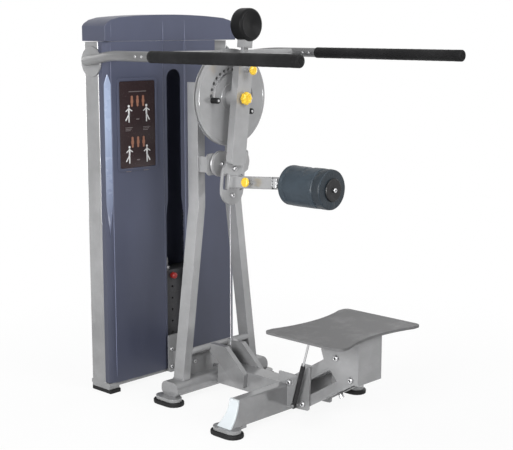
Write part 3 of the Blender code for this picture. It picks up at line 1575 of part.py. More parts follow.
def make_tower_frame():
    """Both uprights on the base plate, with the top beam, stack pedestals and both pulley clevises."""
    wide = TOWER_HALF_WIDTH
    base_top = TOWER_BASE_BOTTOM + TOWER_BASE_THICKNESS
    inset = wide - 0.002
    base = box(
        "tower_frame",
        (-inset, STACK_FRONT - 0.006, TOWER_BASE_BOTTOM),
        (inset, TOWER_BACK - 0.002, base_top),
        silver_paint(),
    )
    parts = []
    for side in (-1, 1):
        outer = side * wide
        inner = side * (wide - UPRIGHT_WIDTH)
        low = (min(outer, inner), UPRIGHT_FRONT)
        high = (max(outer, inner), TOWER_BACK)
        wall = UPRIGHT_WALL
        inner_low = (low[0] + wall, low[1] + wall)
        inner_high = (high[0] - wall, high[1] - wall)
        parts.append(
            plate(
                "upright",
                "z",
                base_top - WELD,
                UPRIGHT_TOP,
                [
                    rounded(rectangle(low, high), UPRIGHT_CORNER, 4),
                    rounded(rectangle(inner_low, inner_high), UPRIGHT_CORNER - wall, 2),
                ],
            )
        )
        foot_outer = side * (wide - 0.004)
        foot_inner = side * (wide - TOWER_FOOT_LENGTH)
        parts.append(
            box(
                "tower_foot",
                (min(foot_outer, foot_inner), STACK_FRONT, 0),
                (max(foot_outer, foot_inner), TOWER_BACK - 0.004, TOWER_BASE_BOTTOM + WELD),
            )
        )
        rod_x = side * GUIDE_ROD_OFFSET
        parts.append(
            box(
                "pedestal",
                (rod_x - PEDESTAL_HALF_WIDTH, STACK_FRONT + 0.008, base_top - WELD),
                (rod_x + PEDESTAL_HALF_WIDTH, STACK_FRONT + STACK_DEPTH - 0.008, PEDESTAL_TOP),
            )
        )
    beam_inner = wide - UPRIGHT_WIDTH + WELD
    parts.append(
        box(
            "top_beam",
            (-beam_inner, UPRIGHT_FRONT + 0.006, TOP_BEAM_BOTTOM),
            (beam_inner, TOWER_BACK - 0.010, TOP_BEAM_BOTTOM + TOP_BEAM_HEIGHT),
        )
    )
    boss = box(
        "tower_boss",
        (-BOSS_HALF_WIDTH, FLANGE_BACK + GAP, TOWER_BASE_BOTTOM + 0.002),
        (BOSS_HALF_WIDTH, STACK_FRONT + 0.004, BOSS_TOP),
    )
    cable_way = box(
        "cable_way",
        (-0.008, COVER_FRONT - 0.05, CABLE_HEIGHT - 0.008),
        (0.008, STACK_PLACE, CABLE_HEIGHT + 0.008),
    )
    parts.append(boss)
    for height, root in ((TOP_PULLEY_HEIGHT, TOP_BEAM_BOTTOM + WELD), (BASE_PULLEY_HEIGHT, base_top - WELD)):
        parts += clevis(TOWER_PULLEY_PLACE, height, root)
    join(base, *parts)
    cut(base, cable_way)


def clevis(place, height, root):
    """Two cheeks and an axle for a tower pulley, running from the given root to just past the axle."""
    inner = PULLEY_WIDTH / 2 + RUNNING_GAP
    outer = inner + CHEEK_THICKNESS
    tip = height + math.copysign(0.010, height - root)
    pieces = []
    for side in (-1, 1):
        pieces.append(
            box(
                "cheek",
                (min(side * inner, side * outer), place - 0.010, min(root, tip)),
                (max(side * inner, side * outer), place + 0.010, max(root, tip)),
            )
        )
    axle = (inner + outer) / 2
    pieces.append(rod("axle", (-axle, place, height), (axle, place, height), AXLE_RADIUS))
    return pieces


def cover_outline(inset):
    """The front cover's plan line from the left side round the face to the right side."""
    wide = TOWER_HALF_WIDTH - inset
    face = COVER_FRONT + inset
    panel = COVER_PANEL_HALF_WIDTH
    depth = COVER_PANEL_DEPTH
    half = [
        (wide, UPRIGHT_FRONT - GAP),
        (wide, COVER_SHOULDER + inset * 0.5),
        (wide - COVER_FACET + inset * 0.5, face + 0.006),
        (wide * 0.55, face + 0.002),
        (panel + 0.006, face),
        (panel, face + depth),
    ]
    left = [(-x, y) for x, y in half]
    return left + list(reversed(half))


def make_front_cover():
    """The moulded front shell with the stack slot, the corner cut-out and the notch for the frame's boss."""
    outer = cover_outline(0)
    inner = cover_outline(COVER_WALL)
    cover = plate("front_cover", "z", COVER_BOTTOM, COVER_TOP, [outer + list(reversed(inner))], slate_shell())
    slot = [
        (-SLOT_LOW_HALF_WIDTH, SLOT_BOTTOM),
        (SLOT_LOW_HALF_WIDTH, SLOT_BOTTOM),
        (SLOT_LOW_HALF_WIDTH, SLOT_STEP - 0.035),
        (SLOT_HALF_WIDTH, SLOT_STEP + 0.035),
        (SLOT_HALF_WIDTH, SLOT_TOP),
        (-SLOT_HALF_WIDTH, SLOT_TOP),
        (-SLOT_HALF_WIDTH, SLOT_STEP + 0.035),
        (-SLOT_LOW_HALF_WIDTH, SLOT_STEP - 0.035),
    ]
    arch = SLOT_HALF_WIDTH - 0.002
    slot_cut = plate(
        "slot_cut",
        "y",
        0.25,
        UPRIGHT_FRONT,
        [rounded(slot, [0.012, 0.012, 0.05, 0.05, arch, arch, 0.05, 0.05], 8)],
    )
    notch = box(
        "corner_notch",
        (TOWER_HALF_WIDTH - NOTCH_WIDTH, 0.25, NOTCH_BOTTOM),
        (TOWER_HALF_WIDTH + 0.05, UPRIGHT_FRONT + 0.05, COVER_TOP + 0.02),
    )
    boss_notch = box(
        "boss_notch",
        (-BOSS_HALF_WIDTH - 0.001, 0.25, COVER_BOTTOM - 0.02),
        (BOSS_HALF_WIDTH + 0.001, UPRIGHT_FRONT, BOSS_TOP + 0.001),
    )
    cut(cover, slot_cut, notch, boss_notch)


def make_top_cap():
    """The crowned cap: an arched block over the tower, hollow from below."""
    wide = TOWER_HALF_WIDTH + CAP_OVERHANG
    bottom = COVER_TOP + GAP
    crown = []
    steps = 12
    for i in range(steps + 1):
        x = CAP_SHOULDER - 2 * CAP_SHOULDER * i / steps
        share = x / CAP_SHOULDER
        crown.append((x, CAP_TOP - (CAP_TOP - CAP_SHOULDER_TOP) * share * share))
    right = [
        (wide, bottom),
        (wide, CAP_EDGE_TOP - 0.012),
        (wide - 0.010, CAP_EDGE_TOP),
        (wide - 0.035, CAP_SHOULDER_TOP - 0.010),
    ]
    left = [(-x, z) for x, z in reversed(right)]
    cap = plate("top_cap", "y", COVER_FRONT, TOWER_BACK + CAP_OVERHANG, [right + crown + left], slate_shell())
    hollow = box(
        "cap_hollow",
        (-wide + CAP_WALL, COVER_FRONT + CAP_WALL, bottom - 0.02),
        (wide - CAP_WALL, TOWER_BACK + CAP_OVERHANG - CAP_WALL, CAP_EDGE_TOP - 0.02),
    )
    cut(cap, hollow)


def make_rear_cover():
    inner = TOWER_HALF_WIDTH - UPRIGHT_WIDTH - GAP
    plate(
        "rear_cover",
        "y",
        TOWER_BACK - COVER_WALL,
        TOWER_BACK,
        [rectangle((-inner, TOWER_BASE_BOTTOM + TOWER_BASE_THICKNESS + GAP), (inner, UPRIGHT_TOP))],
        slate_shell(),
    )


def make_placard():
    """The instruction plate on the cover's left face. It follows the face's slight slope."""
    wide = TOWER_HALF_WIDTH
    start = Vector((-(wide - COVER_FACET), COVER_FRONT + 0.006))
    end = Vector((-wide * 0.55, COVER_FRONT + 0.002))
    slope = math.atan2(end.y - start.y, end.x - start.x)
    centre_y = start.y + (PLACARD_CENTRE - start.x) * math.tan(slope)
    low = -GAP - PLACARD_THICKNESS
    placard = plate(
        "placard",
        "y",
        low,
        -GAP,
        [
            rounded(
                rectangle((-PLACARD_HALF_WIDTH, PLACARD_BOTTOM), (PLACARD_HALF_WIDTH, PLACARD_TOP)), 0.008, 3
            )
        ],
        material("placard_brown", (0.03, 0.02, 0.02), 0.4, 0.0),
    )
    face = pivot("placard_face", (PLACARD_CENTRE, centre_y, 0), (0, 0, slope))
    carry(face, placard)


def stack_plate(name, bottom, top, surface):
    """One weight plate with its guide bores, stem bore and selector hole."""
    low = (-STACK_HALF_WIDTH, STACK_FRONT)
    high = (STACK_HALF_WIDTH, STACK_FRONT + STACK_DEPTH)
    holes = [
        circle((-GUIDE_ROD_OFFSET, STACK_PLACE), GUIDE_ROD_RADIUS + GUIDE_ROD_PLAY, 14),
        circle((GUIDE_ROD_OFFSET, STACK_PLACE), GUIDE_ROD_RADIUS + GUIDE_ROD_PLAY, 14),
    ]
    if name != "head_plate":
        holes.append(circle((0, STACK_PLACE), STEM_RADIUS + STEM_PLAY, 14))
    else:
        holes.append(circle((0, STACK_PLACE), STEM_RADIUS + 2 * GAP, 14))
    outline = rounded(rectangle(low, high), 0.010, 3)
    slab = plate(name, "z", bottom, top, [outline, *holes], surface)
    middle = (bottom + top) / 2
    selector = rod(
        name + "_selector",
        (0, STACK_FRONT - 0.01, middle),
        (0, STACK_PLACE + STEM_RADIUS + 0.006, middle),
        SELECTOR_RADIUS + 2 * GAP,
        sides=10,
    )
    cut(slab, selector)
    return slab


def make_stack():
    """The resting plates, the moving head plate with its stem, the selector pin, rods and cushion."""
    iron = material("stack_iron", (0.05, 0.05, 0.055), 0.55, 0.3)
    for i in range(PLATE_COUNT):
        bottom = STACK_BOTTOM + i * PLATE_HEIGHT
        stack_plate("weight_plate_%d" % (i + 1), bottom + GAP / 2, bottom + PLATE_HEIGHT - GAP / 2, iron)
    stack_plate("head_plate", HEAD_BOTTOM + GAP / 2, HEAD_TOP, iron)
    stem = rod(
        "selector_stem",
        (0, STACK_PLACE, STACK_BOTTOM + 0.006),
        (0, STACK_PLACE, STEM_TOP),
        STEM_RADIUS,
        steel(),
        14,
    )
    heights = [STACK_BOTTOM + (i + 0.5) * PLATE_HEIGHT for i in range(PLATE_COUNT)]
    heights.append((HEAD_BOTTOM + HEAD_TOP + GAP / 2) / 2)
    for i, height in enumerate(heights):
        hole = rod(
            "stem_hole_%d" % i,
            (0, STACK_FRONT, height),
            (0, STACK_FRONT + STACK_DEPTH, height),
            SELECTOR_RADIUS + 2 * GAP,
            sides=10,
        )
        cut(stem, hole)
    collar = rod("stem_collar", (0, STACK_PLACE, HEAD_TOP + GAP), (0, STACK_PLACE, HEAD_TOP + 0.012), 0.022)
    join(stem, collar)
    pin_height = heights[-1]
    head_back = STACK_FRONT - 2 * GAP
    turned(
        "selector_pin",
        "y",
        (0, 0, pin_height),
        [
            (0, STACK_PLACE + STEM_RADIUS + 0.004),
            (SELECTOR_RADIUS, STACK_PLACE + STEM_RADIUS + 0.004),
            (SELECTOR_RADIUS, head_back),
            (SELECTOR_HEAD_RADIUS, head_back),
            (SELECTOR_HEAD_RADIUS, head_back - SELECTOR_HEAD_LENGTH + 0.004),
            (SELECTOR_HEAD_RADIUS - 0.004, head_back - SELECTOR_HEAD_LENGTH),
            (0, head_back - SELECTOR_HEAD_LENGTH),
        ],
        material("red_plastic", (0.6, 0.03, 0.03), 0.4, 0.0),
        steps=20,
    )
    for side, name in ((-1, "left_guide_rod"), (1, "right_guide_rod")):
        x = side * GUIDE_ROD_OFFSET
        rod(
            name,
            (x, STACK_PLACE, PEDESTAL_TOP + GAP),
            (x, STACK_PLACE, TOP_BEAM_BOTTOM - GAP),
            GUIDE_ROD_RADIUS,
            steel(),
            14,
        )
    cushion_low = (-STACK_HALF_WIDTH + 0.012, STACK_FRONT + 0.008)
    cushion_high = (STACK_HALF_WIDTH - 0.012, STACK_FRONT + STACK_DEPTH - 0.008)
    cushion = plate(
        "stack_cushion",
        "z",
        PEDESTAL_TOP + GAP,
        STACK_BOTTOM - GAP,
        [
            rectangle(cushion_low, cushion_high),
            circle((-GUIDE_ROD_OFFSET, STACK_PLACE), GUIDE_ROD_RADIUS + GUIDE_ROD_PLAY, 14),
            circle((GUIDE_ROD_OFFSET, STACK_PLACE), GUIDE_ROD_RADIUS + GUIDE_ROD_PLAY, 14),
        ],
        black_rubber(),
    )
    pulley_room = box(
        "pulley_room",
        (-0.030, STACK_PLACE - 0.014, PEDESTAL_TOP - 0.01),
        (0.030, STACK_PLACE + 0.1, STACK_BOTTOM + 0.01),
    )
    cut(cushion, pulley_room)


def make_tower_pulleys():
    for name, height in (("top_pulley", TOP_PULLEY_HEIGHT), ("base_pulley", BASE_PULLEY_HEIGHT)):
        place = (0, TOWER_PULLEY_PLACE, height)
        pulley(name, "x", place, TOWER_PULLEY_GROOVE, PULLEY_WIDTH, PULLEY_RIM, black_plastic())
    place = (0, FRAME_PULLEY_PLACE, FRAME_PULLEY_HEIGHT)
    pulley("frame_pulley", "x", place, PULLEY_GROOVE_RADIUS, PULLEY_WIDTH, PULLEY_RIM, black_plastic())


def make_cable():
    """The drive cable in the plane x = 0 from the disc to the top pulley, and its drop down to the stem."""
    route = [(CABLE_PLACE, PIVOT_HEIGHT - RIM_GROOVE_RADIUS - GAP), (CABLE_PLACE, 0.620)]
    route += arc((FRAME_PULLEY_PLACE, FRAME_PULLEY_HEIGHT), PULLEY_GROOVE_RADIUS, 180, 270, 8)
    route += arc((TOWER_PULLEY_PLACE, BASE_PULLEY_HEIGHT), TOWER_PULLEY_GROOVE, -90, 0, 8)
    route += [(RISER_PLACE, 0.800)]
    route += arc((TOWER_PULLEY_PLACE, TOP_PULLEY_HEIGHT), TOWER_PULLEY_GROOVE, 0, 180, 14)
    bent_tube("drive_cable", [(0, y, z) for y, z in route], CABLE_RADIUS, steel())
    drop = [(0, STACK_PLACE, TOP_PULLEY_HEIGHT - GAP), (0, STACK_PLACE, STEM_TOP + GAP)]
    bent_tube("lift_cable", drop, CABLE_RADIUS, steel())


def bar_line(side):
    """The handle bar's centreline from its root on the tower to its front end, with eased bends."""
    root = Vector(BAR_ROOT)
    bend = Vector((*BAR_BEND, HANDLE_HEIGHT))
    straight = Vector((HANDLE_OFFSET, BAR_STRAIGHT_START, HANDLE_HEIGHT))
    end = Vector((HANDLE_OFFSET, BAR_END, HANDLE_HEIGHT))
    points = [root]
    for before, corner, after, ease in ((root, bend, straight, 0.060), (bend, straight, end, 0.050)):
        start = corner + (before - corner).normalized() * ease
        finish = corner + (after - corner).normalized() * ease
        for i in range(6):
            t = i / 5
            points.append(start * (1 - t) ** 2 + corner * 2 * t * (1 - t) + finish * t * t)
    points.append(end)
    return [Vector((side * p.x, p.y, p.z)) for p in points]


def make_handles():
    """Two bars on round root plates, joined by a tie tube, each with a long rubber grip and an end plug."""
    for side, name in ((-1, "left"), (1, "right")):
        line = bar_line(side)
        bar = bent_tube(name + "_bar", line, BAR_RADIUS, silver_paint(), 3)
        ahead = (line[1] - line[0]).normalized()
        inside = [line[0] + ahead * BAR_RADIUS] + line[1:-1] + [line[-1] + Vector((0, -0.01, 0))]
        hollow = bent_tube(name + "_bar_hollow", inside, BAR_RADIUS - BAR_WALL, None, 2)
        face = side * (TOWER_HALF_WIDTH + GAP)
        back = side * (TOWER_HALF_WIDTH + GAP + ROOT_PLATE_THICKNESS)
        root = plate(
            name + "_root",
            "x",
            min(face, back),
            max(face, back),
            [circle(ROOT_PLATE_CENTRE, ROOT_PLATE_RADIUS, 32)],
        )
        join(bar, root)
        cut(bar, hollow)
        turned(
            name + "_grip",
            "y",
            (side * HANDLE_OFFSET, 0, HANDLE_HEIGHT),
            [
                (0, BAR_END - GAP),
                (BAR_RADIUS + GAP, BAR_END - GAP),
                (BAR_RADIUS + GAP, GRIP_START),
                (GRIP_RADIUS - 0.002, GRIP_START),
                (GRIP_RADIUS, GRIP_START - 0.003),
                (GRIP_RADIUS, GRIP_END + 0.003),
                (GRIP_RADIUS - 0.003, GRIP_END),
                (0, GRIP_END),
            ],
            black_rubber(),
            steps=24,
        )
    bend = Vector(BAR_BEND)
    straight = Vector((HANDLE_OFFSET, BAR_STRAIGHT_START))
    share = (TIE_TUBE_PLACE - straight.y) / (bend.y - straight.y)
    reach = straight.x + (bend.x - straight.x) * share
    tie = rod(
        "tie_tube",
        (-reach, TIE_TUBE_PLACE, HANDLE_HEIGHT),
        (reach, TIE_TUBE_PLACE, HANDLE_HEIGHT),
        TIE_TUBE_RADIUS,
        silver_paint(),
        20,
    )
    for side in (-1, 1):
        cut(tie, bent_tube("bar_saddle", bar_line(side), BAR_RADIUS + GAP, None, 3))


def move_to_origin():
    """Puts the origin on the floor under the middle of the machine's length."""
    for obj in bpy.data.objects:
        if obj.parent is None:
            obj.location.y += ORIGIN_SHIFT


def main():
    start_scene()
    swing_axis = pivot("cam_axis", (0, 0, PIVOT_HEIGHT))
    lever_axis = pivot("lever_axis", (0, 0, PIVOT_HEIGHT), (0, LEVER_TILT, 0))
    make_cam_disc(swing_axis)
    make_lever(lever_axis)
    make_roller_arm(lever_axis)
    make_a_frame()
    make_base_tube()
    make_feet()
    make_beams()
    make_front_tube()
    make_platform_bracket()
    make_links()
    make_carriage()
    make_deck()
    make_gas_spring()
    make_tower_frame()
    make_front_cover()
    make_top_cap()
    make_rear_cover()
    make_placard()
    make_stack()
    make_tower_pulleys()
    make_cable()
    make_handles()
    move_to_origin()


main()
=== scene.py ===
import json
import math

import bmesh
import bpy
from bpy.props import FloatProperty, FloatVectorProperty, PointerProperty
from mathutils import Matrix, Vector, noise
from mathutils.bvhtree import BVHTree


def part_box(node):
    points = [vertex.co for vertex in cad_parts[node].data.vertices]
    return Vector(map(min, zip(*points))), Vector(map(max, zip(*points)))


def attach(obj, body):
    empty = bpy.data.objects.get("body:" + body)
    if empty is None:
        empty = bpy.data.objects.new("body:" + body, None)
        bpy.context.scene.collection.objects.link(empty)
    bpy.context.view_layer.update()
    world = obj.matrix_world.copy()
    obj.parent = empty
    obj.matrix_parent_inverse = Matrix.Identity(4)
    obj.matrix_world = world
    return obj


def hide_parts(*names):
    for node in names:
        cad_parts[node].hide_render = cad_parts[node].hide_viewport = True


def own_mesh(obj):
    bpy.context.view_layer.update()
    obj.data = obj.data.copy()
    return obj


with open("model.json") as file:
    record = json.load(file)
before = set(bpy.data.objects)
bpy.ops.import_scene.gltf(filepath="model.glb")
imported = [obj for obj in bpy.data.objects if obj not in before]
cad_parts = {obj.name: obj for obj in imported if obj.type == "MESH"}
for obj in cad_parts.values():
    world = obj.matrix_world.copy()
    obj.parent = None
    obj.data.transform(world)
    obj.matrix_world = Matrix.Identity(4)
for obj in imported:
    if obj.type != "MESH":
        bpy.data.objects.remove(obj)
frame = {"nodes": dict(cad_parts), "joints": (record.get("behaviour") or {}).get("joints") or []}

bl_info = {
    "name": "Leg Machine Finish",
    "version": (1, 0, 0),
    "blender": (4, 5, 0),
    "location": "3D View > Sidebar > Leg Machine",
    "description": "Finishes the packed leg machine: paint, plastics, upholstery, screws and a stage",
    "category": "Object",
}

# The machine faces -y and stands on z = 0. Lengths are in metres.

NODES = frame["nodes"]
JOINTS = {joint["name"]: joint for joint in frame["joints"]}
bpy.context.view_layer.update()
FORWARD = Vector((0, -1, 0))
SIDES = ((-1, "left"), (1, "right"))

PIVOT = Vector(JOINTS["leg_swing"]["pos_m"])
ROLLER_AXIS = Vector(JOINTS["roller_spin"]["pos_m"])
ROLLER_LENGTH = 0.220
ROLLER_RADIUS = 0.081
SLIDE = Vector(JOINTS["roller_slide"]["axis"])
SLEEVE_PUSH = Vector(JOINTS["sleeve_pin_push"]["axis"])
LEVER_TILT = math.radians(6.5)
LEVER_FACE = 0.070
SLEEVE_DROP = -0.345
DISC_RADIUS = 0.200
DISC_THICKNESS = 0.020
INDEX_RADIUS = 0.115
INDEX_PITCH = math.radians(13)
INDEX_HOLES = 14
BAR_X = 0.480
BAR_HEIGHT = 1.447
BAR_RADIUS = 0.020
ROPE_RADIUS = 0.0025
LINK_BOLT_X = 0.0779
UPPER_LINK_FRONT = (-0.48312, 0.30213)
FRONT_TUBE_Y = (-0.2286, -0.1836)
PRINT_LEVELS = (0.0012, 0.0018)

TOUCHING = 0.000001
WELD_DISTANCE = 0.00003
FLAT_ANGLE = math.radians(0.6)
FOLD_ANGLE = math.radians(50)


# Sizes and colours that a user would change


def colour(name, description, default):
    return FloatVectorProperty(
        name=name, description=description, subtype="COLOR", size=3, min=0, max=1, default=default
    )


def length(name, description, default, low=0.0, high=1.0):
    return FloatProperty(
        name=name, description=description, unit="LENGTH", min=low, max=high, default=default, precision=4
    )


class MachineColours(bpy.types.PropertyGroup):
    paint: colour("Frame paint", "Silver powder coat on the tubes and plates", (0.345, 0.347, 0.352))
    steel: colour("Bright steel", "Rods, bolts and plated parts", (0.62, 0.62, 0.63))
    shell: colour("Shroud", "Moulded plastic of the tower's covers", (0.070, 0.078, 0.122))
    rubber: colour("Rubber", "Feet, stops and grips", (0.009, 0.009, 0.0095))
    weight: colour("Counterweight", "Coated casting on the lever's head", (0.008, 0.008, 0.0085))
    vinyl: colour("Roller cover", "Upholstery of the roller pad", (0.030, 0.043, 0.056))
    knob: colour("Knobs", "Plastic of the pull knobs and the clamping knob", (0.87, 0.56, 0.025))
    deck: colour("Deck", "Textured paint on the standing deck", (0.132, 0.132, 0.134))
    cap: colour("End caps", "Plastic caps of the front tube", (0.575, 0.615, 0.635))
    placard: colour("Placard", "Ground of the instruction placard", (0.030, 0.018, 0.019))
    iron: colour("Stack", "Painted iron of the weight plates", (0.030, 0.030, 0.033))
    pin: colour("Selector", "Head of the selector pin", (0.26, 0.014, 0.012))


class MachineSizes(bpy.types.PropertyGroup):
    edge: length("Edge easing", "Rounding of the frame's edges", 0.0014, 0.0, 0.01)
    shell_edge: length("Shroud easing", "Rounding of the covers' edges", 0.0045, 0.0, 0.02)
    bead: length("Weld bead", "Half width of a weld bead", 0.0026, 0.001, 0.006)
    bolt: length("Bolt head", "Radius of the larger bolt heads", 0.0112, 0.004, 0.02)
    stitch: length("Stitch", "Length of one stitch on the roller", 0.0042, 0.002, 0.01)
    pad_rise: length("Pad rise", "How far the roller's cover may swell", 0.0035, 0.0, 0.01)
    strand: length("Strand pitch", "Length of one turn of the cable's strands", 0.016, 0.005, 0.05)


class StageSettings(bpy.types.PropertyGroup):
    lens: FloatProperty(
        name="Lens", description="Focal length in millimetres", min=20, max=200, default=80.39
    )
    turn: FloatProperty(
        name="Turn", description="Camera's turn from the machine's length", subtype="ANGLE",
        default=math.radians(46.38),
    )
    dip: FloatProperty(
        name="Dip", description="Camera's dip below level", subtype="ANGLE", default=math.radians(9.90)
    )
    place: FloatVectorProperty(
        name="Place", description="Camera's place", subtype="TRANSLATION", size=3,
        default=(-3.3645, -3.1968, 1.5655),
    )
    ambient: FloatProperty(
        name="Ambient", description="Strength of the even light from all round", min=0, max=2, default=0.32
    )
    lamps: FloatProperty(
        name="Lamps", description="Strength of all studio lamps together", min=0, max=4, default=1.0
    )


def colours():
    return bpy.context.scene.leg_machine_colours


def sizes():
    return bpy.context.scene.leg_machine_sizes


def stage():
    return bpy.context.scene.leg_machine_stage


# Shader maths


class Value:
    """One output of a node. Calculating with a number that varies adds Math nodes."""

    def __init__(self, finish, socket):
        self.finish = finish
        self.socket = socket

    def __add__(self, other):
        return self.finish.maths("ADD", self, other)

    def __sub__(self, other):
        return self.finish.maths("SUBTRACT", self, other)

    def __rsub__(self, other):
        return self.finish.maths("SUBTRACT", other, self)

    def __mul__(self, other):
        return self.finish.maths("MULTIPLY", self, other)

    __radd__ = __add__
    __rmul__ = __mul__

    def between(self, low, high):
        """This number stretched so that low becomes 0 and high becomes 1, and kept within them."""
        limits = {"Value": self, "From Min": low, "From Max": high, "To Min": 0.0, "To Max": 1.0}
        return self.finish.node("ShaderNodeMapRange", {"clamp": True}, limits)


class Finish:
    """The nodes of one material, or of the world. All of them come from its node method."""

    def __init__(self, owner, surface="ShaderNodeBsdfPrincipled", end="ShaderNodeOutputMaterial"):
        owner.use_nodes = True
        self.tree = owner.node_tree
        self.tree.nodes.clear()
        look = self.node(surface)
        self.surface = look.socket.node
        self.node(end, {}, {"Surface": look})

    def node(self, kind, settings=None, inputs=None, out=0):
        """Adds a node, with its settings first and then its values and links, and returns one output."""
        made = self.tree.nodes.new(kind)
        for key, value in (settings or {}).items():
            setattr(made, key, value)
        for key, value in (inputs or {}).items():
            self.connect(made.inputs[key], value)
        return Value(self, made.outputs[out]) if made.outputs else None

    def connect(self, socket, value):
        """Links a value that varies and sets one that doesn't. A colour of three parts gets its fourth."""
        if isinstance(value, Value):
            self.tree.links.new(value.socket, socket)
        elif hasattr(value, "__len__") and len(value) == 3 and len(socket.default_value) == 4:
            socket.default_value = (*value, 1)
        else:
            socket.default_value = value

    def put(self, **values):
        """Sets the surface's sockets by name; an underscore stands for a space."""
        for key, value in values.items():
            self.connect(self.surface.inputs[key.replace("_", " ")], value)

    def mix(self, share, first, second):
        """Feeds a surface that mixes two others."""
        for place, value in enumerate((share, first, second)):
            self.connect(self.surface.inputs[place], value)

    def maths(self, operation, *values):
        """A Math node on values, at least one of which varies."""
        return self.node("ShaderNodeMath", {"operation": operation}, dict(enumerate(values)))

    def places(self):
        return self.node("ShaderNodeTexCoord", out="Object")

    def height(self):
        return self.node("ShaderNodeSeparateXYZ", {}, {"Vector": self.places()}, "Z")

    def stretched(self, x, y, z):
        return self.node("ShaderNodeMapping", {}, {"Vector": self.places(), "Scale": (x, y, z)})

    def clouds(self, scale, detail=3.0, rough=0.55, vector=None):
        inputs = {"Vector": vector or self.places(), "Scale": scale, "Detail": detail, "Roughness": rough}
        return self.node("ShaderNodeTexNoise", {}, inputs, "Fac")

    def cells(self, scale, feature="F1"):
        inputs = {"Vector": self.places(), "Scale": scale}
        return self.node("ShaderNodeTexVoronoi", {"feature": feature}, inputs, "Distance")

    def blend(self, share, first, second):
        """A colour between two others, through the Mix node's colour sockets."""
        return self.node("ShaderNodeMix", {"data_type": "RGBA"}, {0: share, 6: first, 7: second}, 2)

    def tones(self, share, base, dark, light):
        """A colour between two shades of one base."""
        return self.blend(share, shade(base, dark), shade(base, light))

    def bump(self, height, strength, distance, below=None):
        inputs = {"Height": height, "Strength": strength, "Distance": distance}
        if below is not None:
            inputs["Normal"] = below
        return self.node("ShaderNodeBump", {}, inputs)

    def backdrop_rays(self):
        """1 for the rays that see the white background: the camera's, and those off or through a surface."""
        seen = self.node("ShaderNodeLightPath", out="Is Camera Ray")
        for other in ("Is Glossy Ray", "Is Transmission Ray"):
            seen = self.maths("MAXIMUM", seen, self.node("ShaderNodeLightPath", out=other))
        return seen


def shade(value, factor):
    """A colour made darker or lighter."""
    return tuple(min(1.0, part * factor) for part in value)


# Finishes

FINISHES = {}
FINISH_MAKERS = {}

# A plain finish has two tones of clouds over one grain. Its row holds the scale and detail of the clouds, the
# same two of the grain, and the tones, as a colour's name with its dark and light shades or as two colours.
# Then come the shares of clouds and grain in the roughness with its least value, and where the finish has
# them, the bump's strength and distance and the share of metal.

INK_GLOSS = (0, 0.1, 0.26)
PLAIN_FINISHES = {
    # Dull zinc plating over turned steel
    "zinc_plate": (
        (45, 4), (260, 2), ((0.30, 0.30, 0.305), (0.42, 0.42, 0.425)), (0.15, 0.08, 0.34), (0.06, 0.0003), 0.6
    ),
    # Painted shadow: near-black steel inside a screw's socket and at the bottom of the disc's index holes
    "socket_shadow": (
        (400, 3), (300, 3), ((0.02, 0.02, 0.02), (0.06, 0.06, 0.065)), (0, 0.2, 0.5), None, 0.6
    ),
    # Painted highlight: the shroud's plastic made paler on the crests along its creases
    "shell_crest": ((11, 4), (800, 2), ("shell", 1.3, 2.2), (0.12, 0, 0.24), (0.03, 0.0003)),
    # Twisted sewing thread
    "stitch_thread": ((1900, 2), (1900, 2), ("vinyl", 1.0, 2.2), (0, 0.2, 0.6), (0.3, 0.0004)),
    # Pale moulded plastic of the front tube's end caps
    "cap_plastic": ((7, 4), (900, 2), ("cap", 0.93, 1.03), (0.1, 0.06, 0.34), (0.05, 0.0003)),
    # Red moulded head of the selector pin
    "pin_plastic": ((90, 3), (90, 3), ("pin", 0.8, 1.1), (0.1, 0, 0.28)),
    # Dark laminated print under a clear film, and the inks on it
    "placard_ground": ((12, 3), (240, 2), ("placard", 0.8, 1.3), (0, 0.08, 0.22), (0.03, 0.0003)),
    "white_ink": ((700, 2), (240, 3), ((0.62, 0.62, 0.62), (0.82, 0.82, 0.82)), INK_GLOSS),
    "tan_ink": ((700, 2), (240, 3), ((0.25, 0.11, 0.07), (0.42, 0.20, 0.13)), INK_GLOSS),
    "grey_ink": ((700, 2), (240, 3), ((0.13, 0.11, 0.11), (0.22, 0.19, 0.19)), INK_GLOSS),
}


def finish(name):
    """The material of that name, made the first time that a piece asks for it."""
    if name not in FINISHES:
        FINISHES[name] = bpy.data.materials.new(name)
        made = Finish(FINISHES[name])
        if name in PLAIN_FINISHES:
            plain_finish(made, *PLAIN_FINISHES[name])
        else:
            FINISH_MAKERS[name](made)
    return FINISHES[name]


def plain_finish(made, cloud, grain, tones, rough, bump=None, metallic=0.0):
    """Makes a finish from its row of the table."""
    maps = (made.clouds(*cloud), made.clouds(*grain))
    if isinstance(tones[0], str):
        name, dark, light = tones
        base = getattr(colours(), name)
        tones = (shade(base, dark), shade(base, light))
    *shares, least = rough
    made.put(
        Base_Color=made.blend(maps[0], *tones),
        Metallic=metallic,
        Roughness=sum((part * share for part, share in zip(maps, shares) if share), least),
    )
    if bump:
        made.put(Normal=made.bump(maps[1], *bump))


def a_finish(make):
    """Marks a function that makes the finish of its own name."""
    FINISH_MAKERS[make.__name__] = make
    return make


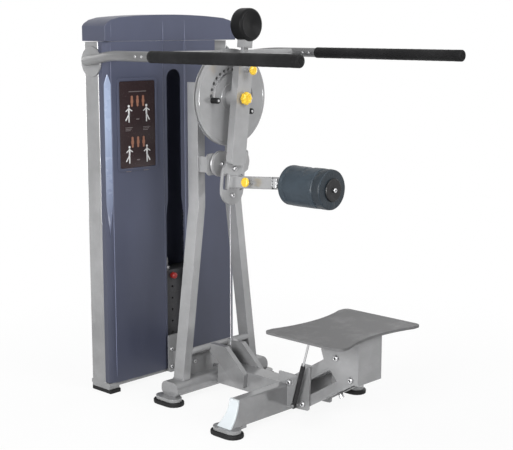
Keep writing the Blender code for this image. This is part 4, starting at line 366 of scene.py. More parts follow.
def metal_flake_coat(made, base, smoothest):
    """Cloudy metal flake powder coat with orange peel, scuff marks, and painted shade and reflections low
    down.
    """
    cloud = made.clouds(6.0, 5.0, 0.6)
    flake = made.clouds(1500.0, 1.0)
    peel = made.clouds(330.0, 2.0)
    # Painted shade: below 0.6 m the colour darkens towards the floor.
    low = 1 - made.height().between(0.10, 0.60)
    # Scuff marks low on the frame, partly real wear and partly painted shade there.
    scuffs_and_low_shade = made.clouds(26.0, 6.0, 0.75).between(0.60, 0.72) * low
    # Painted reflection: cloudy darker patches, mixed in low on the frame.
    painted_reflection_patches = made.clouds(9.0, 5.0, 0.68, made.stretched(1, 1, 1.8)).between(0.36, 0.66)
    tone = cloud * 0.75 + flake * 0.35 - low * 0.20
    paint = made.tones(tone.between(0.25, 0.75), base, 0.74, 1.16)
    dull = made.blend(painted_reflection_patches * low * 0.36, paint, shade(base, 0.56))
    made.put(
        Base_Color=made.blend(scuffs_and_low_shade * 0.45, dull, shade(base, 0.62)),
        Metallic=0.32,
        Roughness=cloud * 0.04 + flake * 0.04 + scuffs_and_low_shade * 0.15 + painted_reflection_patches * 0.03 + smoothest,
        Specular_IOR_Level=0.40,
        Normal=made.bump(peel + flake * 0.4, 0.08, 0.0005),
    )


@a_finish
def silver_paint(made):
    """The frame's silver powder coat."""
    metal_flake_coat(made, colours().paint, 0.08)


@a_finish
def bar_paint(made):
    """The handle bars' silver, darker as painted shade, and duller."""
    metal_flake_coat(made, shade(colours().paint, 0.46), 0.30)


@a_finish
def bright_steel(made):
    """Drawn steel with fine marks along its length."""
    drawn = made.clouds(90.0, 4.0, 0.7, made.stretched(14, 1.2, 1.2))
    stain = made.clouds(16.0, 3.0)
    made.put(
        Base_Color=made.tones(stain, colours().steel, 0.84, 1.08),
        Metallic=1.0,
        Roughness=drawn * 0.18 + stain * 0.10 + 0.14,
        Normal=made.bump(drawn, 0.06, 0.0004),
    )


@a_finish
def slate_shell(made):
    """Moulded plastic with a fine leather-like grain and faint handling marks, darker lower down as painted
    shade.
    """
    grain = made.cells(900.0)
    cloud = made.clouds(2.6, 4.0)
    rubbed = made.clouds(9.0, 6.0, 0.7, made.stretched(1, 1, 0.35))
    # Painted shade: half of the colour's range follows height, darkest below 0.3 m.
    tone = cloud * 0.3 + rubbed * 0.2 + made.height().between(0.3, 1.62) * 0.5
    made.put(
        Base_Color=made.tones(tone, colours().shell, 0.41, 1.36),
        Roughness=grain * 0.10 + rubbed.between(0.35, 0.7) * 0.12 + 0.30,
        Normal=made.bump(grain, 0.07, 0.0004),
        Specular_IOR_Level=0.42,
    )


@a_finish
def corner_strip(made):
    """Painted highlight on the corner strips: pale blue, fading into the shroud's colour lower down."""
    cloud = made.clouds(14.0, 3.0)
    # Painted highlight: the pale blue is strongest above 1.22 m and fades out below 0.72 m.
    pale = made.height().between(0.72, 1.22) * 0.85 + cloud * 0.08
    made.put(
        Base_Color=made.blend(pale, shade(colours().shell, 1.2), (0.34, 0.41, 0.57)),
        Roughness=cloud * 0.1 + 0.22,
        Normal=made.bump(made.clouds(700.0, 2.0), 0.03, 0.0003),
    )


@a_finish
def grip_rubber(made):
    """Long foam-rubber grip: pitted, with a slight sheen where hands polish it."""
    pits = made.cells(1150.0)
    cloud = made.clouds(18.0, 4.0)
    worn = made.clouds(7.0, 3.0).between(0.42, 0.62)
    made.put(
        Base_Color=made.tones(cloud * 0.5 + worn * 0.5, colours().rubber, 0.75, 1.9),
        Roughness=0.62 - worn * 0.14 + pits * 0.10,
        Normal=made.bump(pits, 0.22, 0.0005),
        Specular_IOR_Level=0.15,
    )


@a_finish
def black_rubber(made):
    """Moulded rubber with dust in its grain."""
    grain = made.clouds(700.0, 3.0)
    dust = made.clouds(30.0, 5.0, 0.7).between(0.5, 0.75)
    made.put(
        Base_Color=made.tones(dust * 0.5, colours().rubber, 0.8, 3.2),
        Roughness=dust * 0.15 + grain * 0.1 + 0.58,
        Normal=made.bump(grain, 0.16, 0.0006),
        Specular_IOR_Level=0.25,
    )


@a_finish
def black_plastic(made):
    """Satin moulded plastic of the pulleys, the cylinder and the plugs."""
    grain = made.clouds(800.0, 2.0)
    wear = made.clouds(35.0, 5.0).between(0.55, 0.75)
    made.put(
        Base_Color=made.blend(wear * 0.6, (0.012, 0.012, 0.013), (0.05, 0.05, 0.052)),
        Roughness=wear * 0.12 + grain * 0.08 + 0.30,
        Normal=made.bump(grain, 0.05, 0.0003),
        Specular_IOR_Level=0.3,
    )


@a_finish
def coated_weight(made):
    """Thick black coating over an iron casting, with the casting's waves under it."""
    waves = made.clouds(38.0, 3.0)
    grain = made.clouds(620.0, 2.0)
    chips = made.clouds(55.0, 6.0, 0.8).between(0.68, 0.74)
    under = made.bump(waves, 0.12, 0.0015)
    made.put(
        Base_Color=made.blend(chips * 0.4 + waves * 0.1, colours().weight, (0.045, 0.045, 0.047)),
        Roughness=chips * 0.2 + waves * 0.16 + 0.34,
        Normal=made.bump(grain, 0.14, 0.0004, under),
        Specular_IOR_Level=0.10,
    )


def vinyl(made, base):
    """Upholstery vinyl: pebbled grain with creases, duller in the valleys."""
    pebbles = made.cells(520.0, "SMOOTH_F1")
    crease = made.clouds(42.0, 5.0, 0.62)
    rubbed = made.clouds(14.0, 4.0).between(0.45, 0.68)
    under = made.bump(crease, 0.16, 0.0016)
    made.put(
        Base_Color=made.tones(pebbles * 0.5 + rubbed * 0.5, base, 0.82, 1.28),
        Roughness=0.40 - rubbed * 0.10 + pebbles * 0.12,
        Normal=made.bump(pebbles, 0.30, 0.0007, under),
        Specular_IOR_Level=0.35,
    )


@a_finish
def roller_vinyl(made):
    """The roller's cover, from its inner end to the ring seam."""
    vinyl(made, colours().vinyl)


@a_finish
def roller_end_vinyl(made):
    """The darker vinyl past the roller's ring seam."""
    vinyl(made, shade(colours().vinyl, 0.55))


@a_finish
def knob_plastic(made):
    """Glossy moulded yellow plastic, dirtied a little in its flutes."""
    base = colours().knob
    cloud = made.clouds(60.0, 4.0)
    grime = made.clouds(210.0, 4.0, 0.7).between(0.58, 0.78)
    made.put(
        Base_Color=made.blend(grime * 0.35 + cloud * 0.15, base, shade(base, 0.55)),
        Roughness=grime * 0.2 + cloud * 0.08 + 0.24,
        Normal=made.bump(cloud, 0.05, 0.0004),
        Coat_Weight=0.25,
        Coat_Roughness=0.12,
    )


@a_finish
def deck_paint(made):
    """Textured anti-slip paint, polished a little where feet stand."""
    grit = made.cells(640.0)
    fine = made.clouds(1300.0, 2.0)
    cloud = made.clouds(4.0, 4.0)
    worn = made.clouds(11.0, 6.0, 0.7).between(0.48, 0.66)
    made.put(
        Base_Color=made.tones(cloud * 0.5 + worn * 0.3 + fine * 0.2, colours().deck, 0.88, 1.16),
        Roughness=0.62 - worn * 0.12 + grit * 0.12,
        Normal=made.bump(grit + fine * 0.6, 0.30, 0.0008),
        Specular_IOR_Level=0.3,
    )


@a_finish
def stack_iron(made):
    """Painted iron plates with cast texture and bare rubbed edges."""
    cast = made.clouds(120.0, 5.0, 0.65)
    rub = made.clouds(40.0, 6.0, 0.75).between(0.62, 0.72)
    made.put(
        Base_Color=made.blend(rub * 0.6 + cast * 0.2, colours().iron, (0.11, 0.11, 0.115)),
        Metallic=rub * 0.5 + 0.15,
        Roughness=cast * 0.2 + 0.42,
        Normal=made.bump(cast, 0.22, 0.0008),
    )


@a_finish
def cable_strand(made):
    """Wire rope: strands wind round the line, with oil in the valleys."""
    along = made.node("ShaderNodeAttribute", {"attribute_name": "along"}, {}, "Fac")
    around = made.node("ShaderNodeAttribute", {"attribute_name": "around"}, {}, "Fac")
    strands = 6
    wave = (along * (1 / sizes().strand) + around) * (2 * math.pi * strands)
    ridge = made.maths("SINE", wave) * 0.5 + 0.5
    made.put(
        Base_Color=made.blend(ridge, (0.10, 0.10, 0.105), (0.58, 0.58, 0.60)),
        Metallic=0.9,
        Roughness=0.55 - ridge * 0.25,
        Normal=made.bump(ridge, 0.5, 0.0008),
    )


# Shapes


def on_lever(across, ahead, up):
    """A point on the tilted lever: across and up from the pivot, and ahead of the disc's face."""
    c = math.cos(LEVER_TILT)
    s = math.sin(LEVER_TILT)
    return Vector((PIVOT.x + across * c + up * s, PIVOT.y - ahead, PIVOT.z - across * s + up * c))


def on_disc(across, up, ahead):
    """A point on the disc: across and up from the pivot, and ahead of the disc's face."""
    return Vector((PIVOT.x + across, PIVOT.y - ahead, PIVOT.z + up))


def on_floor(x, y, z):
    """A point of an outline that is drawn from above."""
    return Vector((x, y, z))


def on_roller(angle, radius, along):
    """A point round the roller's axis, that far along it from the inner end."""
    return ROLLER_AXIS + FORWARD * along + Vector((math.cos(angle), 0, math.sin(angle))) * radius


def linked(name, data):
    """A new object in the scene."""
    made = bpy.data.objects.new(name, data)
    bpy.context.scene.collection.objects.link(made)
    return made


def make_piece(name, form, look, body, angle=40):
    """A piece from a shape or a mesh, with its finish, smooth up to an angle in degrees."""
    mesh = mesh_of(form, name) if isinstance(form, bmesh.types.BMesh) else form
    made = linked(name, mesh)
    mesh.materials.append(finish(look))
    mesh.shade_smooth()
    mesh.set_sharp_from_angle(angle=math.radians(angle))
    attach(made, body)
    return made


def mesh_of(shape, name):
    """The mesh of a shape that is done, with its points joined and its faces turned outward."""
    bmesh.ops.remove_doubles(shape, verts=shape.verts, dist=TOUCHING)
    bmesh.ops.recalc_face_normals(shape, faces=shape.faces)
    mesh = bpy.data.meshes.new(name)
    shape.to_mesh(mesh)
    shape.free()
    return mesh


def add_turned(shape, profile, origin, direction, steps, radius_at=None):
    """Adds a turned form. Its profile holds (radius, place along the axis) from one end to the other."""
    turn = Vector((0, 0, 1)).rotation_difference(Vector(direction)).to_matrix()
    rings = []
    for radius, along in profile:
        if radius < TOUCHING:
            rings.append([shape.verts.new(Vector(origin) + turn @ Vector((0, 0, along)))])
            continue
        ring = []
        for i in range(steps):
            angle = 2 * math.pi * i / steps
            r = radius_at(radius, angle) if radius_at else radius
            spot = Vector((r * math.cos(angle), r * math.sin(angle), along))
            ring.append(shape.verts.new(Vector(origin) + turn @ spot))
        rings.append(ring)
    for first, second in zip(rings, rings[1:]):
        for i in range(steps):
            j = (i + 1) % steps
            places = ((first, i), (first, j), (second, j), (second, i))
            corners = list(dict.fromkeys(ring[k % len(ring)] for ring, k in places))
            if len(corners) > 2:
                shape.faces.new(corners)


def turned(profile, origin, direction, steps, radius_at=None):
    """A shape of one turned form."""
    shape = bmesh.new()
    add_turned(shape, profile, origin, direction, steps, radius_at)
    return shape


def join_rings(shape, rings, closed=False):
    """Adds the faces between rings of points. Where they don't close on themselves, it adds both ends."""
    count = len(rings[0])
    following = rings[1:] + rings[:1] if closed else rings[1:]
    for first, second in zip(rings, following):
        for i in range(count):
            j = (i + 1) % count
            shape.faces.new((first[i], first[j], second[j], second[i]))
    if not closed:
        shape.faces.new(rings[0])
        shape.faces.new(rings[-1])


def rings_along(path, radius_at, sides, closed=False):
    """Rings of points round a line, without twist; radius_at gives the radius at each point's number."""
    count = len(path)
    side = (path[1] - path[0]).normalized().orthogonal().normalized()
    rings = []
    for i, point in enumerate(path):
        if closed:
            line = path[(i + 1) % count] - path[i - 1]
        else:
            line = path[min(i + 1, count - 1)] - path[max(i - 1, 0)]
        line.normalize()
        side = (side - line * side.dot(line)).normalized()
        up = line.cross(side)
        radius = radius_at(i)
        angles = [2 * math.pi * k / sides for k in range(sides)]
        rings.append([point + (side * math.cos(angle) + up * math.sin(angle)) * radius for angle in angles])
    return rings


def add_swept(shape, path, radius_at, sides, closed=False):
    """Adds a round tube along a line of points."""
    rings = rings_along(path, radius_at, sides, closed)
    join_rings(shape, [[shape.verts.new(spot) for spot in ring] for ring in rings], closed)


def add_slab(shape, outline, low, high, place):
    """Adds a flat outline between two heights. place turns (across, up, out) into a point."""
    join_rings(shape, [[shape.verts.new(place(u, v, level)) for u, v in outline] for level in (low, high)])


def add_frame(shape, outer, inner, low, high, place):
    """Adds a ring between two outlines with the same number of points."""
    sections = ((outer, low), (outer, high), (inner, high), (inner, low))
    rings = [[shape.verts.new(place(u, v, level)) for u, v in outline] for outline, level in sections]
    join_rings(shape, rings, True)


def arc_points(centre, radius, start, end, steps):
    """Points of an arc between two angles in degrees."""
    points = []
    for i in range(steps + 1):
        angle = math.radians(start + (end - start) * i / steps)
        points.append((centre[0] + radius * math.cos(angle), centre[1] + radius * math.sin(angle)))
    return points


def circle(centre, radius, steps):
    return arc_points(centre, radius, 0, 360, steps)[:-1]


def rectangle(low, high):
    return [low, (high[0], low[1]), high, (low[0], high[1])]


def round_corners(low, high, radius, steps):
    """A rectangle's outline with round corners."""
    points = []
    corners = ((high[0], high[1], 0), (low[0], high[1], 90), (low[0], low[1], 180), (high[0], low[1], 270))
    for x, y, start in corners:
        cx = x - math.copysign(radius, x - (low[0] + high[0]) / 2)
        cy = y - math.copysign(radius, y - (low[1] + high[1]) / 2)
        points += arc_points((cx, cy), radius, start, start + 90, steps)
    return points


def ease_edges(made, width, angle=32, segments=3):
    """Rounds a piece's edges and gives its flats and rounds clean shading."""
    bevel = made.modifiers.new("Edges", "BEVEL")
    bevel.width = width
    bevel.segments = segments
    bevel.limit_method = "ANGLE"
    bevel.angle_limit = math.radians(angle)
    bevel.miter_outer = "MITER_ARC"
    normals = made.modifiers.new("Shading", "WEIGHTED_NORMAL")
    normals.weight = 60
    normals.keep_sharp = False


# Frame members with rounded long edges: body, radius, and the shortest edge that counts as long

ROUNDED_MEMBERS = {
    "a_frame": ("frame", 0.0105, 0.10),
    "front_tube": ("frame", 0.0045, 0.04),
    "center_beam": ("frame", 0.0055, 0.04),
    "lever_arm": ("lever", 0.0115, 0.06),
}


class LEGMACHINE_OT_members(bpy.types.Operator):
    """Builds the tubes of the frame and the lever with rounded long edges"""

    bl_idname = "leg_machine.members"
    bl_label = "Rounded Members"

    def execute(self, context):
        for name, (body, radius, long_edge) in ROUNDED_MEMBERS.items():
            shape = bmesh.new()
            shape.from_mesh(NODES[name].data)
            bmesh.ops.remove_doubles(shape, verts=shape.verts, dist=WELD_DISTANCE)
            bmesh.ops.dissolve_limit(
                shape, angle_limit=FLAT_ANGLE, verts=shape.verts, edges=shape.edges,
                use_dissolve_boundaries=False,
            )
            long_edges = []
            for edge in shape.edges:
                if edge.is_manifold and edge.is_convex and edge.calc_length() > long_edge:
                    if edge.calc_face_angle() > FOLD_ANGLE:
                        long_edges.append(edge)
            bmesh.ops.bevel(
                shape, geom=long_edges, offset=radius, offset_type="OFFSET", segments=5, profile=0.5,
                affect="EDGES", clamp_overlap=True, miter_outer="ARC", loop_slide=True,
            )
            made = make_piece(name + "_member", shape, "silver_paint", body, angle=30)
            ease_edges(made, 0.0010, angle=35, segments=2)
            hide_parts(name)
        return {"FINISHED"}


# The solids that keep their shape, with their finishes and the rounding of their edges

SOLID_LOOKS = {
    "silver_paint": (
        "tower_frame base_tube rear_beam platform_bracket tie_tube roller_mount "
        "lower_link upper_link carriage"
    ),
    "slate_shell": "top_cap front_cover rear_cover",
    "bright_steel": "left_guide_rod right_guide_rod selector_stem roller_shaft gas_rod release_pin",
    "zinc_plate": "left_guide_pulley right_guide_pulley",
    "black_rubber": "stack_cushion left_rear_foot right_rear_foot left_front_foot right_front_foot",
    "black_plastic": "top_pulley base_pulley frame_pulley gas_cylinder roller_cap",
    "stack_iron": "weight_plate_1 weight_plate_2 weight_plate_3 weight_plate_4 weight_plate_5 head_plate",
    "placard_ground": "placard",
    "deck_paint": "deck",
    "pin_plastic": "selector_pin",
}
FOOT_EDGE = 0.0040
EDGE_WIDTHS = {
    "deck": 0.0030,
    "left_rear_foot": FOOT_EDGE,
    "right_rear_foot": FOOT_EDGE,
    "left_front_foot": FOOT_EDGE,
    "right_front_foot": FOOT_EDGE,
    "rear_beam": 0.0030,
    "placard": 0.0006,
    "gas_rod": 0.0006,
    "gas_cylinder": 0.0010,
    "selector_pin": 0.0010,
}


class LEGMACHINE_OT_solids(bpy.types.Operator):
    """Paints the solids that keep their shape and rounds their edges"""

    bl_idname = "leg_machine.solids"
    bl_label = "Painted Solids"

    def execute(self, context):
        for look, names in SOLID_LOOKS.items():
            for name in names.split():
                solid = NODES[name]
                solid.data.materials.clear()
                solid.data.materials.append(finish(look))
                solid.data.polygons.foreach_set("use_smooth", [True] * len(solid.data.polygons))
                weld = solid.modifiers.new("Weld", "WELD")
                weld.merge_threshold = WELD_DISTANCE
                flats = solid.modifiers.new("Flats", "DECIMATE")
                flats.decimate_type = "DISSOLVE"
                flats.angle_limit = FLAT_ANGLE
                width = sizes().shell_edge if look == "slate_shell" else EDGE_WIDTHS.get(name, sizes().edge)
                ease_edges(solid, width)
        return {"FINISHED"}


def bar_line(side, steps=14):
    """The handle bar's centreline from its root on the tower to its front end."""
    root = Vector((0.4015, 0.5964, 1.419))
    bend = Vector((0.455, 0.3614, BAR_HEIGHT))
    straight = Vector((BAR_X, 0.2114, BAR_HEIGHT))
    end = Vector((BAR_X, -0.6456, BAR_HEIGHT))
    points = [root]
    for before, corner, after, ease in ((root, bend, straight, 0.060), (bend, straight, end, 0.050)):
        start = corner + (before - corner).normalized() * ease
        last = corner + (after - corner).normalized() * ease
        for i in range(steps + 1):
            t = i / steps
            points.append(start * (1 - t) ** 2 + corner * 2 * t * (1 - t) + last * t * t)
    points.append(end)
    return [Vector((side * point.x, point.y, point.z)) for point in points]


class LEGMACHINE_OT_handle_bars(bpy.types.Operator):
    """Builds both bent handle bars with the round plates at their roots"""

    bl_idname = "leg_machine.handle_bars"
    bl_label = "Handle Bars"

    def execute(self, context):
        x, y, z = 0.3763, 0.5894, 1.4165
        radius, thick = 0.0625, 0.0080
        profile = [(0, 0), (radius, 0), (radius, 0.0062), (0.0618, 0.0074), (0.0606, thick), (0, thick)]
        for side, name in SIDES:
            shape = bmesh.new()
            add_swept(shape, bar_line(side), lambda i: BAR_RADIUS, 40)
            # The bar tubes take the silver darkened as painted shade.
            tube = make_piece(name + "_handle_tube", shape, "bar_paint", "frame")
            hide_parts(name + "_bar")
            plate = turned(profile, (side * x, y, z), (side, 0, 0), 72)
            make_piece(name + "_root_plate", plate, "silver_paint", "frame")
        return {"FINISHED"}


class LEGMACHINE_OT_grips(bpy.types.Operator):
    """Builds the long grips with a collar, a parting line and a dished end plug"""

    bl_idname = "leg_machine.grips"
    bl_label = "Grips"

    def execute(self, context):
        radius = 0.0233
        full = 0.7533
        collar = 0.0148
        rim = full - 0.0262
        easing = 0.0062
        profile = [(0.0203, 0.0), (radius - 0.0016, 0.0), (radius - 0.0004, 0.0006), (radius, 0.0022)]
        profile += [(radius, 0.0120), (radius - 0.0007, 0.0128), (radius - 0.0007, 0.0140), (radius, collar)]
        for i in range(1, 60):
            along = collar + (full - 0.030 - collar) * i / 60
            profile.append((radius - 0.00025 * (1 - math.cos(i * 2.1)), along))
        profile += [(radius, rim), (radius - 0.0008, rim + 0.0006), (radius - 0.0008, rim + 0.0018)]
        profile += [(radius, rim + 0.0024)] + arc_points((radius - easing, full - easing), easing, 0, 90, 8)
        profile += [(0.0135, full - 0.0002), (0.0122, full - 0.0026), (0.0070, full - 0.0036)]
        profile += [(0.0058, full - 0.0022), (0.0, full - 0.0018)]
        for side, name in SIDES:
            sleeve = turned(profile, (side * BAR_X, 0.1014, BAR_HEIGHT), FORWARD, 56)
            grip = make_piece(name + "_grip_sleeve", sleeve, "grip_rubber", "frame")
            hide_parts(name + "_grip")
        return {"FINISHED"}


class LEGMACHINE_OT_cam_disc(bpy.types.Operator):
    """Builds the disc with its rim groove, stepped face, index track and drilled holes"""

    bl_idname = "leg_machine.cam_disc"
    bl_label = "Cam Disc"

    def execute(self, context):
        rim = DISC_RADIUS
        back = -DISC_THICKNESS
        hub, hub_back, hub_front = 0.036, -0.0447, 0.0347
        axle, axle_back, axle_front = 0.0125, -0.150, 0.0836
        profile = [(0, axle_back), (axle, axle_back), (axle, hub_back), (hub, hub_back), (hub, back)]
        groove = rim - 0.0080
        profile += [(rim - 0.0012, back), (rim, back + 0.0012), (rim, back + 0.0060)]
        profile += [(rim - 0.0008, back + 0.0067), (groove, back + 0.0067)]
        profile += [(groove, back + 0.0133), (rim - 0.0008, back + 0.0133)]
        profile += [(rim, back + 0.0140), (rim, -0.0012), (rim - 0.0012, 0.0), (rim - 0.0110, 0.0)]
        profile += [(rim - 0.0118, -0.0010), (rim - 0.0150, -0.0010), (rim - 0.0158, 0.0)]
        profile += [(0.058, 0.0), (0.0572, 0.0012), (hub, 0.0012), (hub, hub_front)]
        profile += [(axle, hub_front), (axle, axle_front), (0, axle_front)]
        disc = linked("disc_casting", mesh_of(turned(profile, PIVOT, FORWARD, 128), "disc_casting"))
        track_cutter = self.cut_with(disc, self.track(outer=0.0085, inner=-0.0085, low=-0.003, high=0.004))
        hole_cutter = self.cut_with(disc, self.holes(radius=0.0072, steps=28, low=-0.012, high=-0.001))
        mesh = bpy.data.meshes.new_from_object(disc.evaluated_get(context.evaluated_depsgraph_get()))
        for spare in (disc, track_cutter, hole_cutter):
            bpy.data.objects.remove(spare)
        casting = make_piece("disc_casting", mesh, "silver_paint", "cam", angle=30)
        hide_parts("cam_disc")
        band = self.track(outer=-0.0088, inner=-0.0175, low=-0.0004, high=0.0009)
        make_piece("index_band", band, "bright_steel", "cam", angle=30)
        # Painted shadow: dark discs just above the bottoms of the index holes.
        hole_shadows = self.holes(radius=0.0071, steps=20, low=-0.0119, high=-0.0112)
        make_piece("index_hole_floors", hole_shadows, "socket_shadow", "cam", angle=30)
        return {"FINISHED"}

    @staticmethod
    def track(outer, inner, low, high):
        """A curved slab along the arc of index holes, between two distances from it."""
        reach = math.degrees(INDEX_PITCH * INDEX_HOLES / 2)
        outline = arc_points((0, 0), INDEX_RADIUS + outer, 90 - reach, 90 + reach, 72)
        outline += arc_points((0, 0), INDEX_RADIUS + inner, 90 + reach, 90 - reach, 72)
        shape = bmesh.new()
        add_slab(shape, outline, low, high, on_disc)
        return shape

    @staticmethod
    def holes(radius, steps, low, high):
        """A round slab in each index hole."""
        shape = bmesh.new()
        for i in range(INDEX_HOLES):
            angle = math.pi / 2 + (i - (INDEX_HOLES - 1) / 2) * INDEX_PITCH
            centre = (INDEX_RADIUS * math.cos(angle), INDEX_RADIUS * math.sin(angle))
            add_slab(shape, circle(centre, radius, steps), low, high, on_disc)
        return shape

    @staticmethod
    def cut_with(disc, shape):
        cutter = linked("disc_cutter", mesh_of(shape, "disc_cutter"))
        step = disc.modifiers.new("Cut", "BOOLEAN")
        step.operation = "DIFFERENCE"
        step.solver = "EXACT"
        step.object = cutter
        return cutter


class LEGMACHINE_OT_stops(bpy.types.Operator):
    """Builds the disc's rubber stops and the bright pin ends inside them"""

    bl_idname = "leg_machine.stops"
    bl_label = "Stops"

    def execute(self, context):
        end = 0.036
        wide = 0.012
        pin_wide = 0.0056
        sleeve = [(0, 0.0002), (wide, 0.0002), (wide, end - 0.003), (0.0112, end - 0.001)]
        sleeve += [(0.0095, end), (0, end)]
        pin = [(0, end - 0.002), (pin_wide, end - 0.002), (pin_wide, end + 0.0006)]
        pin += [(0.0048, end + 0.0013), (0, end + 0.0013)]
        pins = bmesh.new()
        for side, across, up in (("left", -0.110, -0.007), ("right", 0.086, -0.059)):
            root = on_disc(across, up, 0)
            stop = turned(sleeve, root, FORWARD, 36)
            rubber = make_piece(side + "_rubber_stop", stop, "black_rubber", "cam")
            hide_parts(side + "_stop")
            add_turned(pins, pin, root, FORWARD, 28)
        make_piece("stop_pins", pins, "bright_steel", "cam")
        return {"FINISHED"}


class LEGMACHINE_OT_counterweight(bpy.types.Operator):
    """Builds the coated counterweight with its raised rims and dished faces"""

    bl_idname = "leg_machine.counterweight"
    bl_label = "Counterweight"

    def execute(self, context):
        half = 0.0325
        radius = 0.067
        round_off = 0.0130
        end = [(0, half - 0.0042), (0.0140, half - 0.0042), (0.0160, half - 0.0030), (0.0490, half - 0.0030)]
        end += [(0.0515, half - 0.0012), (0.0530, half)]
        end += arc_points((radius - round_off, half - round_off), round_off, 90, 0, 8)
        parting = [(radius + 0.0002, 0.004), (radius + 0.0002, -0.004)]
        profile = end + parting + [(r, -h) for r, h in reversed(end)]
        shape = turned(profile, on_lever(0, 0.0525, 0.298), FORWARD, 96)
        casting = make_piece("counterweight_casting", shape, "coated_weight", "lever")
        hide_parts("counterweight")
        return {"FINISHED"}


# A button-headed screw and the floor of its socket, as shares of the head's radius and height

SCREW_HEAD = ((1, 0), (1, 0.25), (0.94, 0.62), (0.78, 0.92), (0.60, 1), (0.46, 1), (0.42, 0.92), (0.42, 0.40))
SCREW_SOCKET = ((0.43, 0.86), (0.41, 0.45), (0, 0.45))


class LEGMACHINE_OT_fasteners(bpy.types.Operator):
    """Builds the screws and bolts on every joint and plate"""

    bl_idname = "leg_machine.fasteners"
    bl_label = "Fasteners"

    def execute(self, context):
        # Each head's radius and height
        link_bolt = (sizes().bolt, 0.0042)
        plate_bolt = (0.0092, 0.0036)
        grip_screw = (0.0052, 0.0022)
        flange_screw = (0.0076, 0.0030)
        base_bolt = (0.0085, 0.0050)
        cover_screw = (0.0065, 0.0026)
        end_screw = (0.0090, 0.0030)
        screws = {"frame": [], "platform": [], "lever": [], "roller_bar": []}
        pivots = [
            ("frame", JOINTS["platform_lift"]["pos_m"][1:]),
            ("frame", JOINTS["upper_link_turn"]["pos_m"][1:]),
            ("platform", JOINTS["platform_level"]["pos_m"][1:]),
            ("platform", UPPER_LINK_FRONT),
        ]
        for body, (y, z) in pivots:
            for side, _ in SIDES:
                screws[body].append(((side * LINK_BOLT_X, y, z), (side, 0, 0), *link_bolt))
        for up in (-0.290, -0.400):
            screws["lever"].append((on_lever(0, 0.0529, up), FORWARD, *plate_bolt))
        for side, _ in SIDES:
            # The handle bar behind its grip, then the guide pulley, the rear beam's flange and the base tube
            for y in (0.1344, 0.1704):
                for face in (-1, 1):
                    spot = (side * BAR_X + face * 0.0196, y, BAR_HEIGHT)
                    screws["frame"].append((spot, (face, 0, 0), *grip_screw))
            screws["frame"].append(((side * 0.0545, 0.1470, 1.0), FORWARD, *plate_bolt))
            for z in (0.143, 0.064):
                screws["frame"].append(((side * 0.052, 0.4795, z), FORWARD, *flange_screw))
            screws["frame"].append(((side * 0.115, 0.2634, 0.146), FORWARD, *base_bolt))
        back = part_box("rear_cover")[1].y - 0.0002
        for side, _ in SIDES:
            for z in (0.16, 0.62, 1.08, 1.40):
                screws["frame"].append(((side * 0.262, back, z), -FORWARD, *cover_screw))
        screws["roller_bar"].append((ROLLER_AXIS + FORWARD * 0.2313, FORWARD, *end_screw))
        for body, rows in screws.items():
            heads = bmesh.new()
            sockets = bmesh.new()
            for origin, direction, radius, height in rows:
                for shape, shares, steps in ((heads, SCREW_HEAD, 28), (sockets, SCREW_SOCKET, 6)):
                    profile = [(radius * r, height * h) for r, h in shares]
                    add_turned(shape, profile, origin, direction, steps)
            make_piece(body + "_screws", heads, "bright_steel", body)
            # The sockets are drawn near-black as painted shadow.
            make_piece(body + "_screw_sockets", sockets, "socket_shadow", body)
        return {"FINISHED"}


def lobed(count, depth):
    """A turned form's radius with that many lobes, cut by a share of the radius."""

    def radius_at(radius, angle):
        return radius * (1 - depth * (1 - math.cos(count * angle)) / 2)

    return radius_at


class LEGMACHINE_OT_knobs(bpy.types.Operator):
    """Builds the lobed clamping knob and both pull knobs on their pins"""

    bl_idname = "leg_machine.knobs"
    bl_label = "Knobs"

    def execute(self, context):
        front = LEVER_FACE + 0.0283
        back = LEVER_FACE + 0.0003
        profile = [(0, back), (0.0170, back), (0.0205, back + 0.0030), (0.0262, back + 0.0070)]
        profile += [(0.0265, back + 0.0120), (0.0265, back + 0.0190), (0.0258, back + 0.0225)]
        profile += [(0.0235, front - 0.0030), (0.0195, front - 0.0008), (0.0155, front - 0.0004)]
        profile += [(0.0140, front - 0.0014), (0.0120, front - 0.0034), (0.0060, front - 0.0040)]
        profile += [(0, front - 0.0040)]
        shape = turned(profile, PIVOT, FORWARD, 128, lobed(8, 0.12))
        knob = make_piece("clamp_knob", shape, "knob_plastic", "star_knob")
        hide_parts("star_knob")
        index_push = Vector(JOINTS["index_pin_push"]["axis"])
        index_hole = on_lever(0, 0, INDEX_RADIUS)
        self.pull_knob("index", index_hole, -index_push, nose=0.0010, back=LEVER_FACE + 0.0298)
        sleeve_hole = on_lever(0, 0.047, SLEEVE_DROP) + SLIDE * 0.126
        self.pull_knob("sleeve", sleeve_hole, -SLEEVE_PUSH, nose=0.0213, back=0.0493)
        return {"FINISHED"}

    @staticmethod
    def pull_knob(kind, origin, out, nose, back):
        """A pin from its nose out to the back of its fluted knob."""
        body = kind + "_pin"
        root = back + 0.004
        pin = [(0, nose), (0.0050, nose), (0.0060, nose + 0.0010), (0.0060, root), (0, root)]
        pin = turned(pin, origin, out, 32)
        shank = make_piece(kind + "_pin_shank", pin, "bright_steel", body)
        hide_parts(kind + "_pin")
        profile = [(0, 0), (0.0118, 0), (0.0130, 0.0008), (0.0190, 0.0075), (0.0199, 0.0095)]
        profile += [(0.0199, 0.0140), (0.0186, 0.0168), (0.0160, 0.0190), (0.0118, 0.0204)]
        profile += [(0.0105, 0.0197), (0.0060, 0.0200), (0, 0.0203)]
        profile = [(radius, back + along) for radius, along in profile]
        knob = turned(profile, origin, out, 144, lobed(18, 0.045))
        make_piece(kind + "_pull_knob", knob, "knob_plastic", body)


